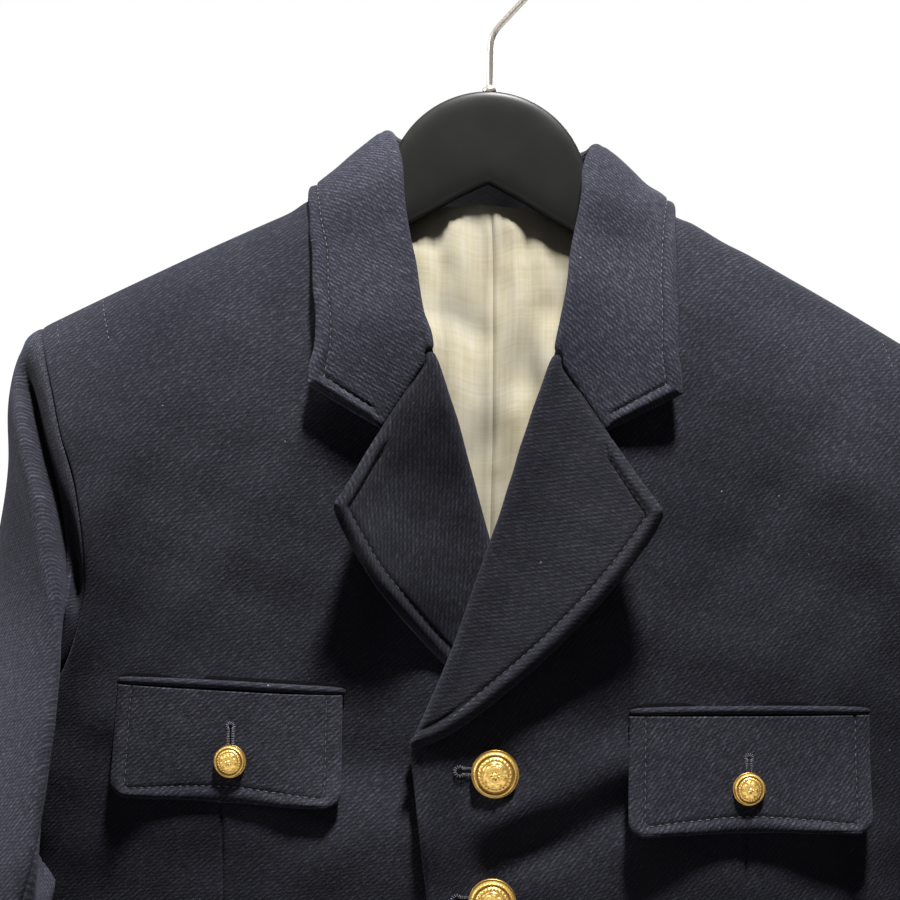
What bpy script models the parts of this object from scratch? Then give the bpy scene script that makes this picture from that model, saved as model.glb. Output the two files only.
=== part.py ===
"""A single-breasted tailored jacket with notch lapels, hung on its shouldered hanger.

Sizes are in millimetres and become metres when a mesh is made. +Z is up, the front faces -Y, and the origin
is the underside of the hook's top arc, where a rail carries it. Side +1 is the wearer's left, which laps over.
Cloth surfaces are worked out as the outer face of each piece, and its wall is turned inwards.
"""

import math

import bpy
import numpy as np

MM = 0.001
WALL = 2.0            # body cloth, with its canvas
LINING_WALL = 1.0
LINING_EASE = 1.3     # the lining hangs a little off the back
LINING_IN = 5.0       # and ends short of the side seam
SEAM = 0.25           # each piece stops this far short of a seam line
SLEEVE_SEAM = 0.75   # and the sleeve seams, where the cloth bends hardest
BACK_SEAM_EASE = 0.6  # the same where the back's halves meet
SIDE_SEAM = 0.55      # and at the side panels
ARMHOLE_SEAM = 1.6    # and along the low, curved part of the armhole
EASE = 0.4            # air between one layer and the next
SHOULDER_TOP = -94.3  # where the two shoulder lines would meet above the neck
SHOULDER_FALL = 0.5195
SHOULDER_ROUND = 105.0
ROUND_POWER = 2.2
FRONT_POWER = 2.5
BACK_POWER = 2.6
UNDERLAP = 9.9        # how far the under front sinks where the lapels cross
UNDERLAP_LOW = 3.0    # the same below the crossing
ROLL = 3.8            # radius of a rolled fold, over the cloth that it wraps
UNDER_ROLL = 0.8      # the under lapel rolls this much wider
RETURN = 9.0          # how far a rolled fold runs on inside
LAPEL_LIFT = 9.0      # how far a lapel tip and a collar point stand off the front
COLLAR_LIFT = 11.0
COLLAR_BELLY = 3.0    # how far the collar rounds out between its fold and its edge
SIDE_FRONT = 0.93     # the side seams, as shares of the half width
SIDE_BACK = 0.90
ARMHOLE_SCOOP = 24.0  # how far the armhole dips under the arm
FRONT_SEAM = math.radians(130)    # the sleeve's two seams, as turns round it
BACK_SEAM = math.radians(-98)
TOP_TURNS = np.linspace(BACK_SEAM, FRONT_SEAM, 14)
UNDER_TURNS = np.linspace(FRONT_SEAM, BACK_SEAM + 2 * math.pi, 7)
HEAD_CREASE = 7.0     # the fold down the front of the sleeve, and the roll between it and the armhole
HEAD_ROLL = (1.0, 1.6)
OFF_BODY = 4.4        # a sleeve that lies on the body stands off it by this
BUTTON_SPACING = 57.5
FIRST_BUTTON = (2.0, -397.0)
BUTTON_COUNT = 5
HANGER_HALF = 203.0
HANGER_NECK = (-131.5, 47.5)   # centre height and radius of the round neck plate
HANGER_DROP = 4.0     # the arms lie this much lower near the neck
HANGER_ROOM = 3.0     # and this far inside the cloth all along
HOOK_WIRE = 1.45
HOOK_RADIUS = 25.0
HOOK_LEAN = math.radians(42)
HOOK_END = math.radians(202)


def table(names, *rows):
    return dict(zip(names.split(), np.array(rows, float).T))


def smooth(at, xs, ys):
    """A curve through the points: cubic, with each slope taken from the neighbours."""
    xs, ys = np.asarray(xs, float), np.asarray(ys, float)
    if xs[0] > xs[-1]:
        xs, ys = xs[::-1], ys[::-1]
    slope = np.gradient(ys, xs)
    at = np.clip(at, xs[0], xs[-1])
    i = np.clip(np.searchsorted(xs, at) - 1, 0, len(xs) - 2)
    step = xs[i + 1] - xs[i]
    t = (at - xs[i]) / step
    start = (2 * t**3 - 3 * t**2 + 1) * ys[i] + (t**3 - 2 * t**2 + t) * step * slope[i]
    return start + (3 * t**2 - 2 * t**3) * ys[i + 1] + (t**3 - t**2) * step * slope[i + 1]


def ease(t):
    t = np.clip(t, 0, 1)
    return t * t * (3 - 2 * t)


BODY = table(
    "z half front back side",
    (-100, 248, 42, 50, 0),
    (-150, 248, 46, 51, 0),
    (-200, 246, 52, 52, 1),
    (-250, 242, 58, 53, 3),
    (-300, 237, 63, 54, 5),
    (-350, 233, 67, 54, 7),
    (-411, 228, 69, 53, 8),
    (-480, 222, 67, 49, 8),
    (-560, 216, 63, 46, 8),
    (-640, 219, 61, 47, 6),
    (-740, 229, 62, 51, 4),
    (-830, 238, 64, 55, 2),
)

# One row per soft fold of the fronts: where it starts and ends, how wide it is, how far it stands out.
FOLDS = table(
    "side x0 z0 x1 z1 width rise",
    (1, 150, -560, 165, -790, 26, 4.0),
    (1, 96, -600, 100, -800, 24, -3.0),
    (-1, -150, -540, -170, -790, 26, 4.0),
    (-1, -78, -600, -66, -800, 30, -3.0),
)

FRONT = table(
    "x_in z_in x_out z_out",
    (66, -128.6, 216.5, -206.8),
    (65, -129.8, 216, -208.2),
    (62, -133, 214.5, -213),
    (55, -145, 211, -224),
    (47, -163, 205.5, -240),
    (37, -186, 199, -260),
    (26.2, -209.4, 192.5, -283),
    (14, -248, 188.5, -308),
    (0, -295, 190, -332),
    (-17, -345, 197, -357),
    (-34, -388, 211, -384),
)

BACK = table(
    "x_in z_in x_out z_out",
    (66, -128.6, 216.5, -206.8),
    (63.5, -128.7, 216, -208.2),
    (56, -129.1, 214, -213),
    (38, -129.8, 210.5, -224),
    (18, -130.7, 206, -241),
    (0, -131, 201, -262),
    (0, -165, 197, -286),
    (0, -205, 195, -312),
    (0, -250, 196, -338),
    (0, -300, 200, -362),
    (0, -350, 206, -388),
)

# One row per level of the lining: its height at the centre back, and how much lower it is at the side.
LINING = table(
    "z slant",
    (-135, 93),
    (-150, 88),
    (-190, 68),
    (-235, 55),
    (-285, 40),
    (-340, 24),
    (-400, 6),
    (-470, 0),
    (-545, 0),
    (-625, 0),
    (-710, 0),
    (-800, 0),
)

BELOW = (-428, -475, -520, -570, -625, -680, -735, -785, -830)

# One row per section of the collar, from the gorge round to the centre back.
COLLAR = table(
    "fold_x fold_y fold_z edge_x edge_y edge_z seam_x seam_y seam_z",
    (26.2, -57, -209.4, 82.3, -62, -227.5, 26.2, -55, -209.4),
    (28.8, -54, -196, 82.0, -59, -212, 31.5, -53, -198),
    (32.5, -50, -176, 82.3, -51, -190, 39.0, -46, -181.4),
    (37.0, -42, -152, 84.0, -41, -167, 48.5, -36, -159.5),
    (41.8, -29, -129, 86.0, -26, -149, 57.0, -22, -141.5),
    (46.8, -14, -112, 87.6, -10, -137.5, 63.5, -7, -130.8),
    (50.3, 3, -102.5, 86.0, 9, -136.0, 65.8, 1, -128.4),
    (46.5, 22, -97, 75.5, 31, -140.5, 54.0, 19, -128.9),
    (28.5, 37, -95, 47.5, 50, -146, 33.0, 31.5, -130),
    (0.0, 43.5, -94.5, 0.0, 58.5, -148, 0.0, 38.5, -130.8),
)
STAND_CLEAR = (0.5, 0.6)
NOTCH = (49.4, -244.8)
NOTCH_AT = 0.5        # the notch's share of the collar's end, from the gorge to the point
COLLAR_SHARES = np.array((0.18, 0.36, NOTCH_AT, 0.75, 1.0))
ON_CHEST = 4          # this many sections lie on the fronts

LAPEL = table(
    "roll_x roll_z edge_x edge_z",
    (-33.4, -385.0, -32.6, -387.2),
    (-27.3, -371, -17.5, -380.5),
    (-17.0, -345, 2.0, -365.5),
    (-6.5, -314, 27.0, -342.5),
    (4.0, -282, 50.5, -316.5),
    (13.0, -250, 66.5, -294.5),
    (20.0, -228, 71.8, -284.0),
    (26.2, -209.4, 72.3, -279.7),
)

LAPEL_SHARES = np.array((0.2, 0.42, 0.62, 0.8, 1.0))
CROSSED_ROWS = 3      # the under lapel lies flat as far as this row

# One row per ring of the sleeve: its outer and inner points, the middle of its depth, half its depth, how far
# the inner side swings forward, how far its middle bows to the body, and its share of the full ring.
SLEEVE = table(
    "x_out z_out x_in z_in y depth swing bow share",
    (216.5, -206.8, 228.0, -410.0, 0, 42, 0, -30, 0),
    (222.5, -210.5, 230.0, -436.0, 0, 46, 0, -28, 0.12),
    (228.0, -219.0, 229.0, -438.0, -1, 49, 2, -26, 0.28),
    (231.0, -232.0, 227.0, -441.0, -2, 52, 4, -24, 0.46),
    (233.0, -252.0, 224.0, -445.0, -3, 54, 8, -20, 0.66),
    (238.0, -282.0, 218.0, -451.0, -5, 56, 14, -14, 0.85),
    (254.0, -330.0, 210.0, -460.0, -7, 57, 20, -6, 1),
    (276.0, -390.0, 203.0, -478.0, -9, 57, 24, 0, 1),
    (294.0, -450.0, 199.0, -504.0, -11, 56, 27, 0, 1),
    (304.0, -515.0, 198.5, -542.0, -14, 53, 27, 0, 1),
    (309.0, -585.0, 200.0, -596.0, -18, 49, 24, 0, 1),
    (312.0, -660.0, 203.0, -662.0, -23, 44, 20, 0, 1),
    (314.0, -740.0, 207.0, -740.0, -28, 38, 14, 0, 1),
    (316.0, -815.0, 212.0, -815.0, -32, 33, 8, 0, 1),
)

# One row per chest pocket: its side, the middle of its top edge, the flap's width and height, the fall of its
# top edge towards the front edge of the jacket.
POCKETS = table(
    "side x z wide tall fall button",
    (-1, 117.0, -364.6, 107, 48.0, 1.6, -31.0),
    (1, 118.0, -370.2, 108, 51.0, 1.6, -32.0),
)
FLAP_CORNER = 6.0
FLAP_LIFT = 4.8       # how far its lower corners stand off
WELT = (4.6, 1.5)     # height and wall

MATERIALS = {
    "navy_wool_twill": ("#2b2d3a", 0.92, 0.0),
    "navy_wool_facing": ("#2e303e", 0.90, 0.0),
    "cream_lining": ("#ddd0b0", 0.60, 0.0),
    "gilt_brass": ("#d3a23c", 0.32, 1.0),
    "charcoal_plastic": ("#303132", 0.48, 0.0),
    "bright_steel": ("#b9b3aa", 0.28, 1.0),
}


def shoulder(x):
    return SHOULDER_TOP - SHOULDER_FALL * np.abs(x)


def body_at(column, z):
    return smooth(z, BODY["z"], BODY[column])


def across(x, z, power):
    share = np.clip(np.abs(x) / body_at("half", z), 0, 1)
    return (1 - share**power) ** (1 / power)


def rounding(x, z):
    drop = np.clip((shoulder(x) - z) / SHOULDER_ROUND, 0, 1)
    return (1 - (1 - drop) ** ROUND_POWER) ** (1 / ROUND_POWER)


def fold_rise(side, x, z):
    total = np.zeros(np.broadcast(x, z).shape)
    for on, x0, z0, x1, z1, width, rise in zip(*FOLDS.values()):
        if on != side:
            continue
        length = math.hypot(x1 - x0, z1 - z0)
        ux, uz = (x1 - x0) / length, (z1 - z0) / length
        along = ((x - x0) * ux + (z - z0) * uz) / length
        off = ((x - x0) * uz - (z - z0) * ux) / width
        inside = np.clip(along, 0, 1) - along
        total = total + rise * np.exp(-off**2 - (inside * length / width) ** 2)
    return total


def under(side, x, z):
    """How far the under front sinks below the form, so that the upper one can lap over it."""
    if side > 0:
        return 0 * x * z
    sink = UNDERLAP + (UNDERLAP_LOW - UNDERLAP) * ease((-z - 392) / 40)
    return sink * ease((x + 98) / 58) * ease((-z - 212) / 72)


def front_y(side, x, z):
    turn = rounding(x, z)
    depth = body_at("front", z) * across(x, z, FRONT_POWER)
    return body_at("side", z) * turn - (depth + fold_rise(side, x, z)) * turn + under(side, x, z)


def back_y(x, z):
    turn = rounding(x, z)
    return (body_at("side", z) + body_at("back", z) * across(x, z, BACK_POWER)) * turn


def material(name):
    made = bpy.data.materials.get(name)
    if made:
        return made
    colour, rough, metal = MATERIALS[name]
    parts = [int(colour[i:i + 2], 16) / 255 for i in (1, 3, 5)]
    linear = [c / 12.92 if c <= 0.04045 else ((c + 0.055) / 1.055) ** 2.4 for c in parts]
    made = bpy.data.materials.new(name)
    made.use_nodes = True
    shader = made.node_tree.nodes["Principled BSDF"]
    shader.inputs["Base Color"].default_value = (*linear, 1)
    shader.inputs["Roughness"].default_value = rough
    shader.inputs["Metallic"].default_value = metal
    made.diffuse_color = (*linear, 1)
    return made


def place(name, points, faces, of):
    mesh = bpy.data.meshes.new(name)
    mesh.from_pydata([tuple(p) for p in np.asarray(points) * MM], [], faces)
    mesh.shade_smooth()
    made = bpy.data.objects.new(name, mesh)
    made.data.materials.append(material(of))
    bpy.context.scene.collection.objects.link(made)
    return made


def draw_in(grid, rows=(SEAM, SEAM), columns=(SEAM, SEAM)):
    """The grid with each edge moved in from its seam."""
    grid = np.array(grid, float)

    def moved(edge, inner, by):
        way = inner - edge
        return edge + by * way / np.linalg.norm(way, axis=1, keepdims=True)

    grid[0] = moved(grid[0], grid[1], rows[0])
    grid[-1] = moved(grid[-1], grid[-2], rows[1])
    grid[:, 0] = moved(grid[:, 0], grid[:, 1], columns[0])
    grid[:, -1] = moved(grid[:, -1], grid[:, -2], columns[1])
    return grid


def sheet(name, grid, inside, of="navy_wool_twill", wall=WALL, even=True):
    """A piece of cloth on a grid of points, its wall turned towards the point inside."""
    grid = np.asarray(grid, float)
    high, wide = grid.shape[:2]
    facing = np.cross(grid[1:, :-1] - grid[:-1, :-1], grid[:-1, 1:] - grid[:-1, :-1])
    outwards = (facing * (grid[:-1, :-1] - np.asarray(inside, float))).sum()
    faces = []
    for i in range(high - 1):
        for j in range(wide - 1):
            corner = i * wide + j
            face = (corner, corner + wide, corner + wide + 1, corner + 1)
            faces.append(face if outwards > 0 else face[::-1])
    made = place(name, grid.reshape(-1, 3), faces, of)
    thick = made.modifiers.new("wall", "SOLIDIFY")
    thick.thickness = wall * MM
    thick.offset = -1
    thick.use_even_offset = even
    thick.use_quality_normals = True
    return made


def shell(name, outer, inner, of):
    """A closed piece between two grids of points."""
    high, wide = outer.shape[:2]
    skip = high * wide
    faces = []
    for i in range(high - 1):
        for j in range(wide - 1):
            a = i * wide + j
            faces.append((a, a + wide, a + wide + 1, a + 1))
            faces.append((a + skip, a + skip + 1, a + skip + wide + 1, a + skip + wide))
    rim = [i * wide for i in range(high)] + [skip - wide + j for j in range(1, wide)]
    rim += [i * wide + wide - 1 for i in range(high - 2, -1, -1)] + list(range(wide - 2, 0, -1))
    for a, b in zip(rim, rim[1:] + rim[:1]):
        faces.append((a, a + skip, b + skip, b))
    points = np.concatenate([outer.reshape(-1, 3), inner.reshape(-1, 3)])
    way = outer[1:, :-1] - outer[:-1, :-1]
    facing = np.cross(way, outer[:-1, 1:] - outer[:-1, :-1])
    if (facing * (outer - inner)[:-1, :-1]).sum() < 0:
        faces = [face[::-1] for face in faces]
    return place(name, points, faces, of)


def loft(name, rings, of):
    """A closed solid through rings of points, with a flat cap at each end."""
    rings = np.asarray(rings, float)
    count, around = rings.shape[:2]
    faces = []
    for i in range(count - 1):
        for j in range(around):
            k = (j + 1) % around
            faces.append((i * around + j, i * around + k, (i + 1) * around + k, (i + 1) * around + j))
    faces.append(tuple(range(around))[::-1])
    faces.append(tuple(range((count - 1) * around, count * around)))
    return place(name, rings.reshape(-1, 3), faces, of)


def panel_edges(rows, column):
    """The inner and outer edge points of a panel, row by row down to the hem."""
    inner = [(x, z) for x, z in zip(rows["x_in"], rows["z_in"])]
    outer = [(x, z) for x, z in zip(rows["x_out"], rows["z_out"])]
    share = SIDE_FRONT if column == "front" else SIDE_BACK
    for z in BELOW:
        inner.append((inner[-1][0], z))
        outer.append((share * body_at("half", z), z))
    return np.array(inner), np.array(outer)


def front_panel(side):
    inner, outer = panel_edges(FRONT, "front")
    grid = []
    for (x_in, z_in), (x_out, z_out) in zip(inner, outer):
        share = np.linspace(0, 1, 13) ** 0.92
        x = side * (x_in + (x_out - x_in) * share)
        z = z_in + (z_out - z_in) * share
        grid.append(np.stack([x, front_y(side, x, z), z], axis=1))
    grid = draw_in(np.array(grid))
    folded = slice(6, 11)
    way = grid[folded, 1] - grid[folded, 0]
    grid[folded, 0] += (ROLL + 2 * EASE) * way / np.linalg.norm(way, axis=1, keepdims=True)
    return grid


def back_panel(side):
    inner, outer = panel_edges(BACK, "back")
    grid = []
    for (x_in, z_in), (x_out, z_out) in zip(inner, outer):
        share = np.linspace(0, 1, 10) ** 0.92
        x = side * (x_in + (x_out - x_in) * share)
        z = z_in + (z_out - z_in) * share
        grid.append(np.stack([x, back_y(x, z), z], axis=1))
    return draw_in(np.array(grid), columns=(BACK_SEAM_EASE, SEAM))


def side_ring(z, share):
    """A point of the side, share 0 at the front seam and 1 at the back seam."""
    front_turn = math.acos(SIDE_FRONT ** (FRONT_POWER / 2))
    back_turn = math.acos(SIDE_BACK ** (BACK_POWER / 2))
    turn = -front_turn + (front_turn + back_turn) * share
    power = np.where(turn < 0, FRONT_POWER, BACK_POWER)
    depth = np.where(turn < 0, body_at("front", z), body_at("back", z))
    x = body_at("half", z) * np.cos(turn) ** (2 / power)
    y = body_at("side", z) + depth * np.sign(turn) * np.abs(np.sin(turn)) ** (2 / power)
    return x, y


def armhole_low(share):
    """The height of the armhole under the arm, between the front's and the back's edges."""
    start, end = FRONT["z_out"][-1], BACK["z_out"][-1]
    return start + (end - start) * share - ARMHOLE_SCOOP * np.sin(math.pi * share)


def side_panel(side):
    share = np.linspace(0, 1, 7)
    top = armhole_low(share)
    grid = []
    for i, level in enumerate((top,) + BELOW):
        z = level + 0 * share if i != 1 else np.minimum(level, top - 12)
        x, y = side_ring(z, share)
        grid.append(np.stack([side * x, y, z], axis=1))
    return draw_in(np.array(grid), rows=(ARMHOLE_SEAM, SEAM), columns=(SIDE_SEAM, SIDE_SEAM))


def armhole(side):
    """The loop where a sleeve is set in, from the shoulder point down the front and up the back."""
    front = front_outline(side)
    share = np.linspace(0, 1, 9)[1:-1]
    z = armhole_low(share)
    x, y = side_ring(z, share)
    low = np.stack([side * x, y, z], axis=1)
    x, z = side * BACK["x_out"][::-1], BACK["z_out"][::-1]
    back = np.stack([x, back_y(x, z), z], axis=1)
    loop = np.concatenate([front, low, back])
    lowest = len(front) + 3
    run = np.concatenate([[0], np.cumsum(np.linalg.norm(np.diff(loop, axis=0), axis=1))])
    turn = np.interp(run, [0, run[lowest], run[-1]], [0, math.pi, 2 * math.pi])
    return turn, loop


def front_outline(side):
    x, z = side * FRONT["x_out"], FRONT["z_out"]
    return np.stack([x, front_y(side, x, z), z], axis=1)


def clear_of_body(points, side, share):
    """Points of a sleeve that would sink into the body, moved out to lie just off it."""
    x, y, z = points.T
    middle = body_at("side", z)
    front = y < middle
    power = np.where(front, FRONT_POWER, BACK_POWER)
    deep = np.where(front, body_at("front", z), body_at("back", z)) + OFF_BODY + fold_rise(side, x, z).clip(0)
    size = (np.abs(x) / (body_at("half", z) + OFF_BODY)) ** power + (np.abs(y - middle) / deep) ** power
    grow = np.where(size < 1, size ** (-1 / power), 1)
    grow = 1 + (grow - 1) * ease((-z - 345) / 40) * ease(share / 0.12)
    return np.stack([x * grow, middle + (y - middle) * grow, z], axis=1)


def sleeve_grid(side, turns):
    """Rings down the sleeve. A turn of 0 is the outer side, a quarter turn the front, a half the inner side."""
    loop_turn, loop = armhole(side)
    turns = np.asarray(turns, float) % (2 * math.pi)
    start = np.stack([np.interp(turns, loop_turn, loop[:, k]) for k in range(3)], axis=1)
    grid = []
    for x_out, z_out, x_in, z_in, y, depth, swing, bow, share in zip(*SLEEVE.values()):
        cos, sin = np.cos(turns), np.sin(turns)
        x = (x_out + x_in) / 2 + (x_out - x_in) / 2 * cos + bow * sin**2
        z = (z_out + z_in) / 2 + (z_out - z_in) / 2 * cos
        ring = np.stack([side * x, y - depth * sin + swing * cos, z], axis=1)
        ring = start + (ring - start) * share
        in_front = ease(turns / 0.6) * ease((2.0 - turns) / 0.6)
        ring[:, 1] += HEAD_CREASE * np.exp(-((share - 0.36) / 0.14) ** 2) * in_front
        bulge = np.exp(-((share - 0.10) / 0.10) ** 2) * (share > 0)
        ring[:, 0] += HEAD_ROLL[0] * side * bulge
        ring[:, 1] -= HEAD_ROLL[1] * bulge * in_front
        grid.append(clear_of_body(ring, side, share))
    return np.array(grid)


def sleeve_pieces(side):
    """The top and under pieces of a sleeve, each with the wall of one closed tube."""
    turns = np.concatenate([TOP_TURNS[:-1], UNDER_TURNS[:-1]])
    tube = sleeve_grid(side, turns)
    tube = draw_in(tube, rows=(0.55, 0), columns=(0, 0))
    wrapped = np.concatenate([tube[:, -1:], tube, tube[:, :2]], axis=1)
    normal = np.cross(np.gradient(wrapped, axis=0), np.gradient(wrapped, axis=1))[:, 1:-1]
    normal /= np.linalg.norm(normal, axis=2, keepdims=True)
    outer = wrapped[:, 1:-1]
    if ((outer - tube.mean(axis=1, keepdims=True)) * normal).sum() < 0:
        normal = -normal
    split = len(TOP_TURNS)
    for columns in (slice(0, split), slice(split - 1, None)):
        drawn = draw_in(outer[:, columns], rows=(0, 0), columns=(SLEEVE_SEAM, SLEEVE_SEAM))
        yield drawn, drawn - WALL * normal[:, columns]


def rolled(fold, way, out, radius, squeeze=1.0):
    """The points of a rolled fold, from the end of its return round to the top of the roll."""
    sunk = WALL / 2
    points = [fold + way * RETURN * squeeze - out * (radius + sunk)]
    for angle in np.radians((270, 225, 180, 135, 90)):
        along = squeeze * radius * (1 + math.cos(angle))
        points.append(fold + way * along + out * (radius * math.sin(angle) - sunk))
    return points


def unit(vector):
    return vector / np.linalg.norm(vector)


def out_of_front(side, x, z):
    """The outward normal of a front at a point."""
    step = 1.0
    slope_x = (front_y(side, x + step, z) - front_y(side, x - step, z)) / (2 * step)
    slope_z = (front_y(side, x, z + step) - front_y(side, x, z - step)) / (2 * step)
    return unit(np.array([float(slope_x), -1.0, float(slope_z)]))


def on_front(side, x, z, lift):
    """A point lifted off a front along its normal."""
    return np.array([x, float(front_y(side, x, z)), z]) + lift * out_of_front(side, x, z)


def lapel(side):
    """Rows of points up the roll line, each round the fold and across to the lapel's edge."""
    grid = []
    last = len(LAPEL["roll_x"]) - 1
    for row, (roll_x, roll_z, edge_x, edge_z) in enumerate(zip(*LAPEL.values())):
        radius = ROLL + UNDER_ROLL * (side < 0) * float(ease((last - row) / 2))
        rest = radius - WALL / 2
        fold = on_front(side, side * roll_x, roll_z, 0)
        edge = on_front(side, side * edge_x, edge_z, 0)
        out = out_of_front(side, side * roll_x, roll_z)
        low, high = max(row - 1, 0), min(row + 1, last)
        run_x = side * (LAPEL["roll_x"][high] - LAPEL["roll_x"][low])
        run = np.array([run_x, 0, LAPEL["roll_z"][high] - LAPEL["roll_z"][low]])
        way = unit(np.cross(out, run))
        if way @ (edge - fold) < 0:
            way = -way
        wide = math.hypot(edge_x - roll_x, edge_z - roll_z)
        points = rolled(fold, way, out, radius, min(1.0, 0.12 + wide / 22))
        height = ease(row / last) * (side > 0 or row > CROSSED_ROWS)
        for share in LAPEL_SHARES:
            x = roll_x + (edge_x - roll_x) * share
            z = roll_z + (edge_z - roll_z) * share
            lift = rest + (LAPEL_LIFT - rest) * share**2 * height
            points.append(on_front(side, side * x, z, lift))
        grid.append(points)
    return np.array(grid)


def collar_section(side, row):
    """The fold, edge and seam points of one section, the fronts' ones set on the front."""
    fold, edge, seam = (np.array([COLLAR[f"{k}_{a}"][row] for a in "xyz"]) for k in ("fold", "edge", "seam"))
    for point in (fold, edge, seam):
        point[0] *= side
    return fold, edge, seam


def collar_half(side):
    """Sections of the turned-down collar from the gorge to the centre back, each round its fold."""
    rest = ROLL - WALL / 2
    rows = []
    corner = np.array([side * NOTCH[0], NOTCH[1]])
    last = len(COLLAR["fold_x"]) - 1
    for row in range(last + 1):
        fold, edge, seam = collar_section(side, row)
        on_chest = row < ON_CHEST
        if on_chest:
            fold = on_front(side, fold[0], fold[2], 0)
            out = out_of_front(side, fold[0], fold[2])
            target = on_front(side, edge[0], edge[2], rest)
        else:
            target = edge
            out = unit(np.array([0, 1.0, 0.2]))
        if ON_CHEST <= row < last:
            out = unit(np.cross(unit(edge - fold), collar_run(side, row)))
            out *= math.copysign(1, out[2])
        way = unit(target - fold)
        way = unit(way - out * float(way @ out))
        points = rolled(fold, way, out, ROLL)
        for share in COLLAR_SHARES:
            if row == 0 and share <= NOTCH_AT:
                flat = fold[[0, 2]] + (corner - fold[[0, 2]]) * share / NOTCH_AT
            elif row == 0:
                flat = corner + (edge[[0, 2]] - corner) * (share - NOTCH_AT) / (1 - NOTCH_AT)
            else:
                flat = fold[[0, 2]] + (edge[[0, 2]] - fold[[0, 2]]) * share
            if on_chest:
                lift = rest + (COLLAR_LIFT - rest) * share**2 * ease((5 - row) / 4)
                points.append(on_front(side, flat[0], flat[1], lift))
            else:
                belly = COLLAR_BELLY * math.sin(math.pi * share)
                points.append(fold + (edge - fold) * share + out * (rest * (1 - share) + belly))
        rows.append(points)
    return np.array(rows)


def collar_run(side, row):
    """The way the collar's fold runs at a section."""
    before = collar_section(side, row - 1)[0]
    after = collar_section(side, row + 1)[0]
    return unit(after - before)


def collar_fall():
    left, right = collar_half(-1), collar_half(1)
    return np.concatenate([left, right[::-1][1:]])


def collar_stand():
    """The band from the collar's fold down to the neck seam, clear of both."""
    halves = []
    for side in (-1, 1):
        grid = collar_half(side)
        rows = []
        for row in range(ON_CHEST - 1, len(grid)):
            seam = collar_section(side, row)[2]
            way = unit(seam - grid[row, 0])
            top, foot = grid[row, 0] + way * STAND_CLEAR[0], seam - way * STAND_CLEAR[1]
            rows.append([top + (foot - top) * share for share in (0, 0.5, 1)])
        halves.append(np.array(rows))
    return np.concatenate([halves[0], halves[1][::-1][1:]])


def on_back(x, z, lift):
    """A point lifted off the back along its normal."""
    step = 1.0
    slope_x = (back_y(x + step, z) - back_y(x - step, z)) / (2 * step)
    slope_z = (back_y(x, z + step) - back_y(x, z - step)) / (2 * step)
    out = unit(np.array([-float(slope_x), 1.0, -float(slope_z)]))
    return np.array([x, float(back_y(x, z)), z]) + lift * out


def lining_half(side):
    share = np.linspace(0, 1, 8)
    x_edge = np.append(BACK["x_out"], [SIDE_BACK * body_at("half", z) for z in BELOW])
    z_edge = np.append(BACK["z_out"], BELOW)
    grid = []
    for level, slant in zip(LINING["z"], LINING["slant"]):
        z = level - slant * share
        x = side * (np.interp(-z, -z_edge, x_edge) - LINING_IN) * share
        grid.append([on_back(a, b, -(WALL + LINING_EASE)) for a, b in zip(x, z)])
    return draw_in(np.array(grid), columns=(0.35, SEAM))


def flap(row):
    side, x, z, wide, tall, fall, button = (POCKETS[k][row] for k in POCKETS)
    share = np.array((-1, -0.96, -0.88, -0.6, -0.3, 0, 0.3, 0.6, 0.88, 0.96, 1))
    rest = WALL + 1.5 * EASE
    half = wide / 2
    grid = []
    for down in (0, 0.25, 0.5, 0.75, 0.9, 1.0):
        points = []
        for s in share:
            corner = max(0.0, (abs(s) * half - (half - FLAP_CORNER)) / FLAP_CORNER)
            rise = FLAP_CORNER * (1 - math.sqrt(max(0.0, 1 - corner**2))) * (down == 1.0)
            px = side * (x + half * s)
            pz = z + fall / 2 * s - tall * down + rise
            lift = rest + FLAP_LIFT * down**2 * s * s
            points.append(on_front(side, px, pz, lift))
        grid.append(points)
    return np.array(grid)


def welt(row):
    side, x, z, wide, tall, fall, button = (POCKETS[k][row] for k in POCKETS)
    height, wall = WELT
    grid = []
    for up, lift in ((0.5, 0.1), (1.4, 0.9), (2.5, 1.2), (3.6, 0.9), (height, 0.1)):
        points = []
        for s in np.linspace(-1, 1, 9):
            px = side * (x + wide / 2 * s)
            pz = z + fall / 2 * s + up
            points.append(on_front(side, px, pz, wall + EASE + lift))
        grid.append(points)
    return np.array(grid)


def button(name, foot, out, radius):
    """A domed metal button on its shank, standing a hair off the cloth at its foot."""
    profile = (
        (0.22, 0.03), (0.22, 0.30), (0.86, 0.34), (1.0, 0.42), (1.0, 0.52),
        (0.93, 0.58), (0.86, 0.55), (0.60, 0.63), (0.30, 0.68), (0.06, 0.70),
    )
    around = 16
    up = np.array([0, 0, 1.0])
    right = unit(np.cross(up, out))
    up = np.cross(out, right)
    rings = []
    for r, h in profile:
        ring = []
        for k in range(around):
            angle = 2 * math.pi * k / around
            ring.append(foot + out * h * radius + radius * r * (right * math.cos(angle) + up * math.sin(angle)))
        rings.append(ring)
    return loft(name, rings, "gilt_brass")


def hanger_top(x):
    """The hanger's upper line: the round neck plate, then a little under the cloth of the shoulder."""
    centre, radius = HANGER_NECK
    x = abs(x)
    line = shoulder(x) - WALL - EASE - HANGER_DROP * float(ease((84 - x) / 14))
    if x >= radius:
        return line
    return max(line, centre + math.sqrt(radius**2 - x**2))


HANGER = table(
    "x bottom half",
    (0, -127.5, 6.5),
    (12, -133.5, 6.5),
    (25, -141, 6.5),
    (46, -153, 7.5),
    (70, -166, 10),
    (110, -186, 14),
    (150, -206, 16),
    (185, -222, 16),
    (197, -225, 14),
    (HANGER_HALF, -223, 10),
)


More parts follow.
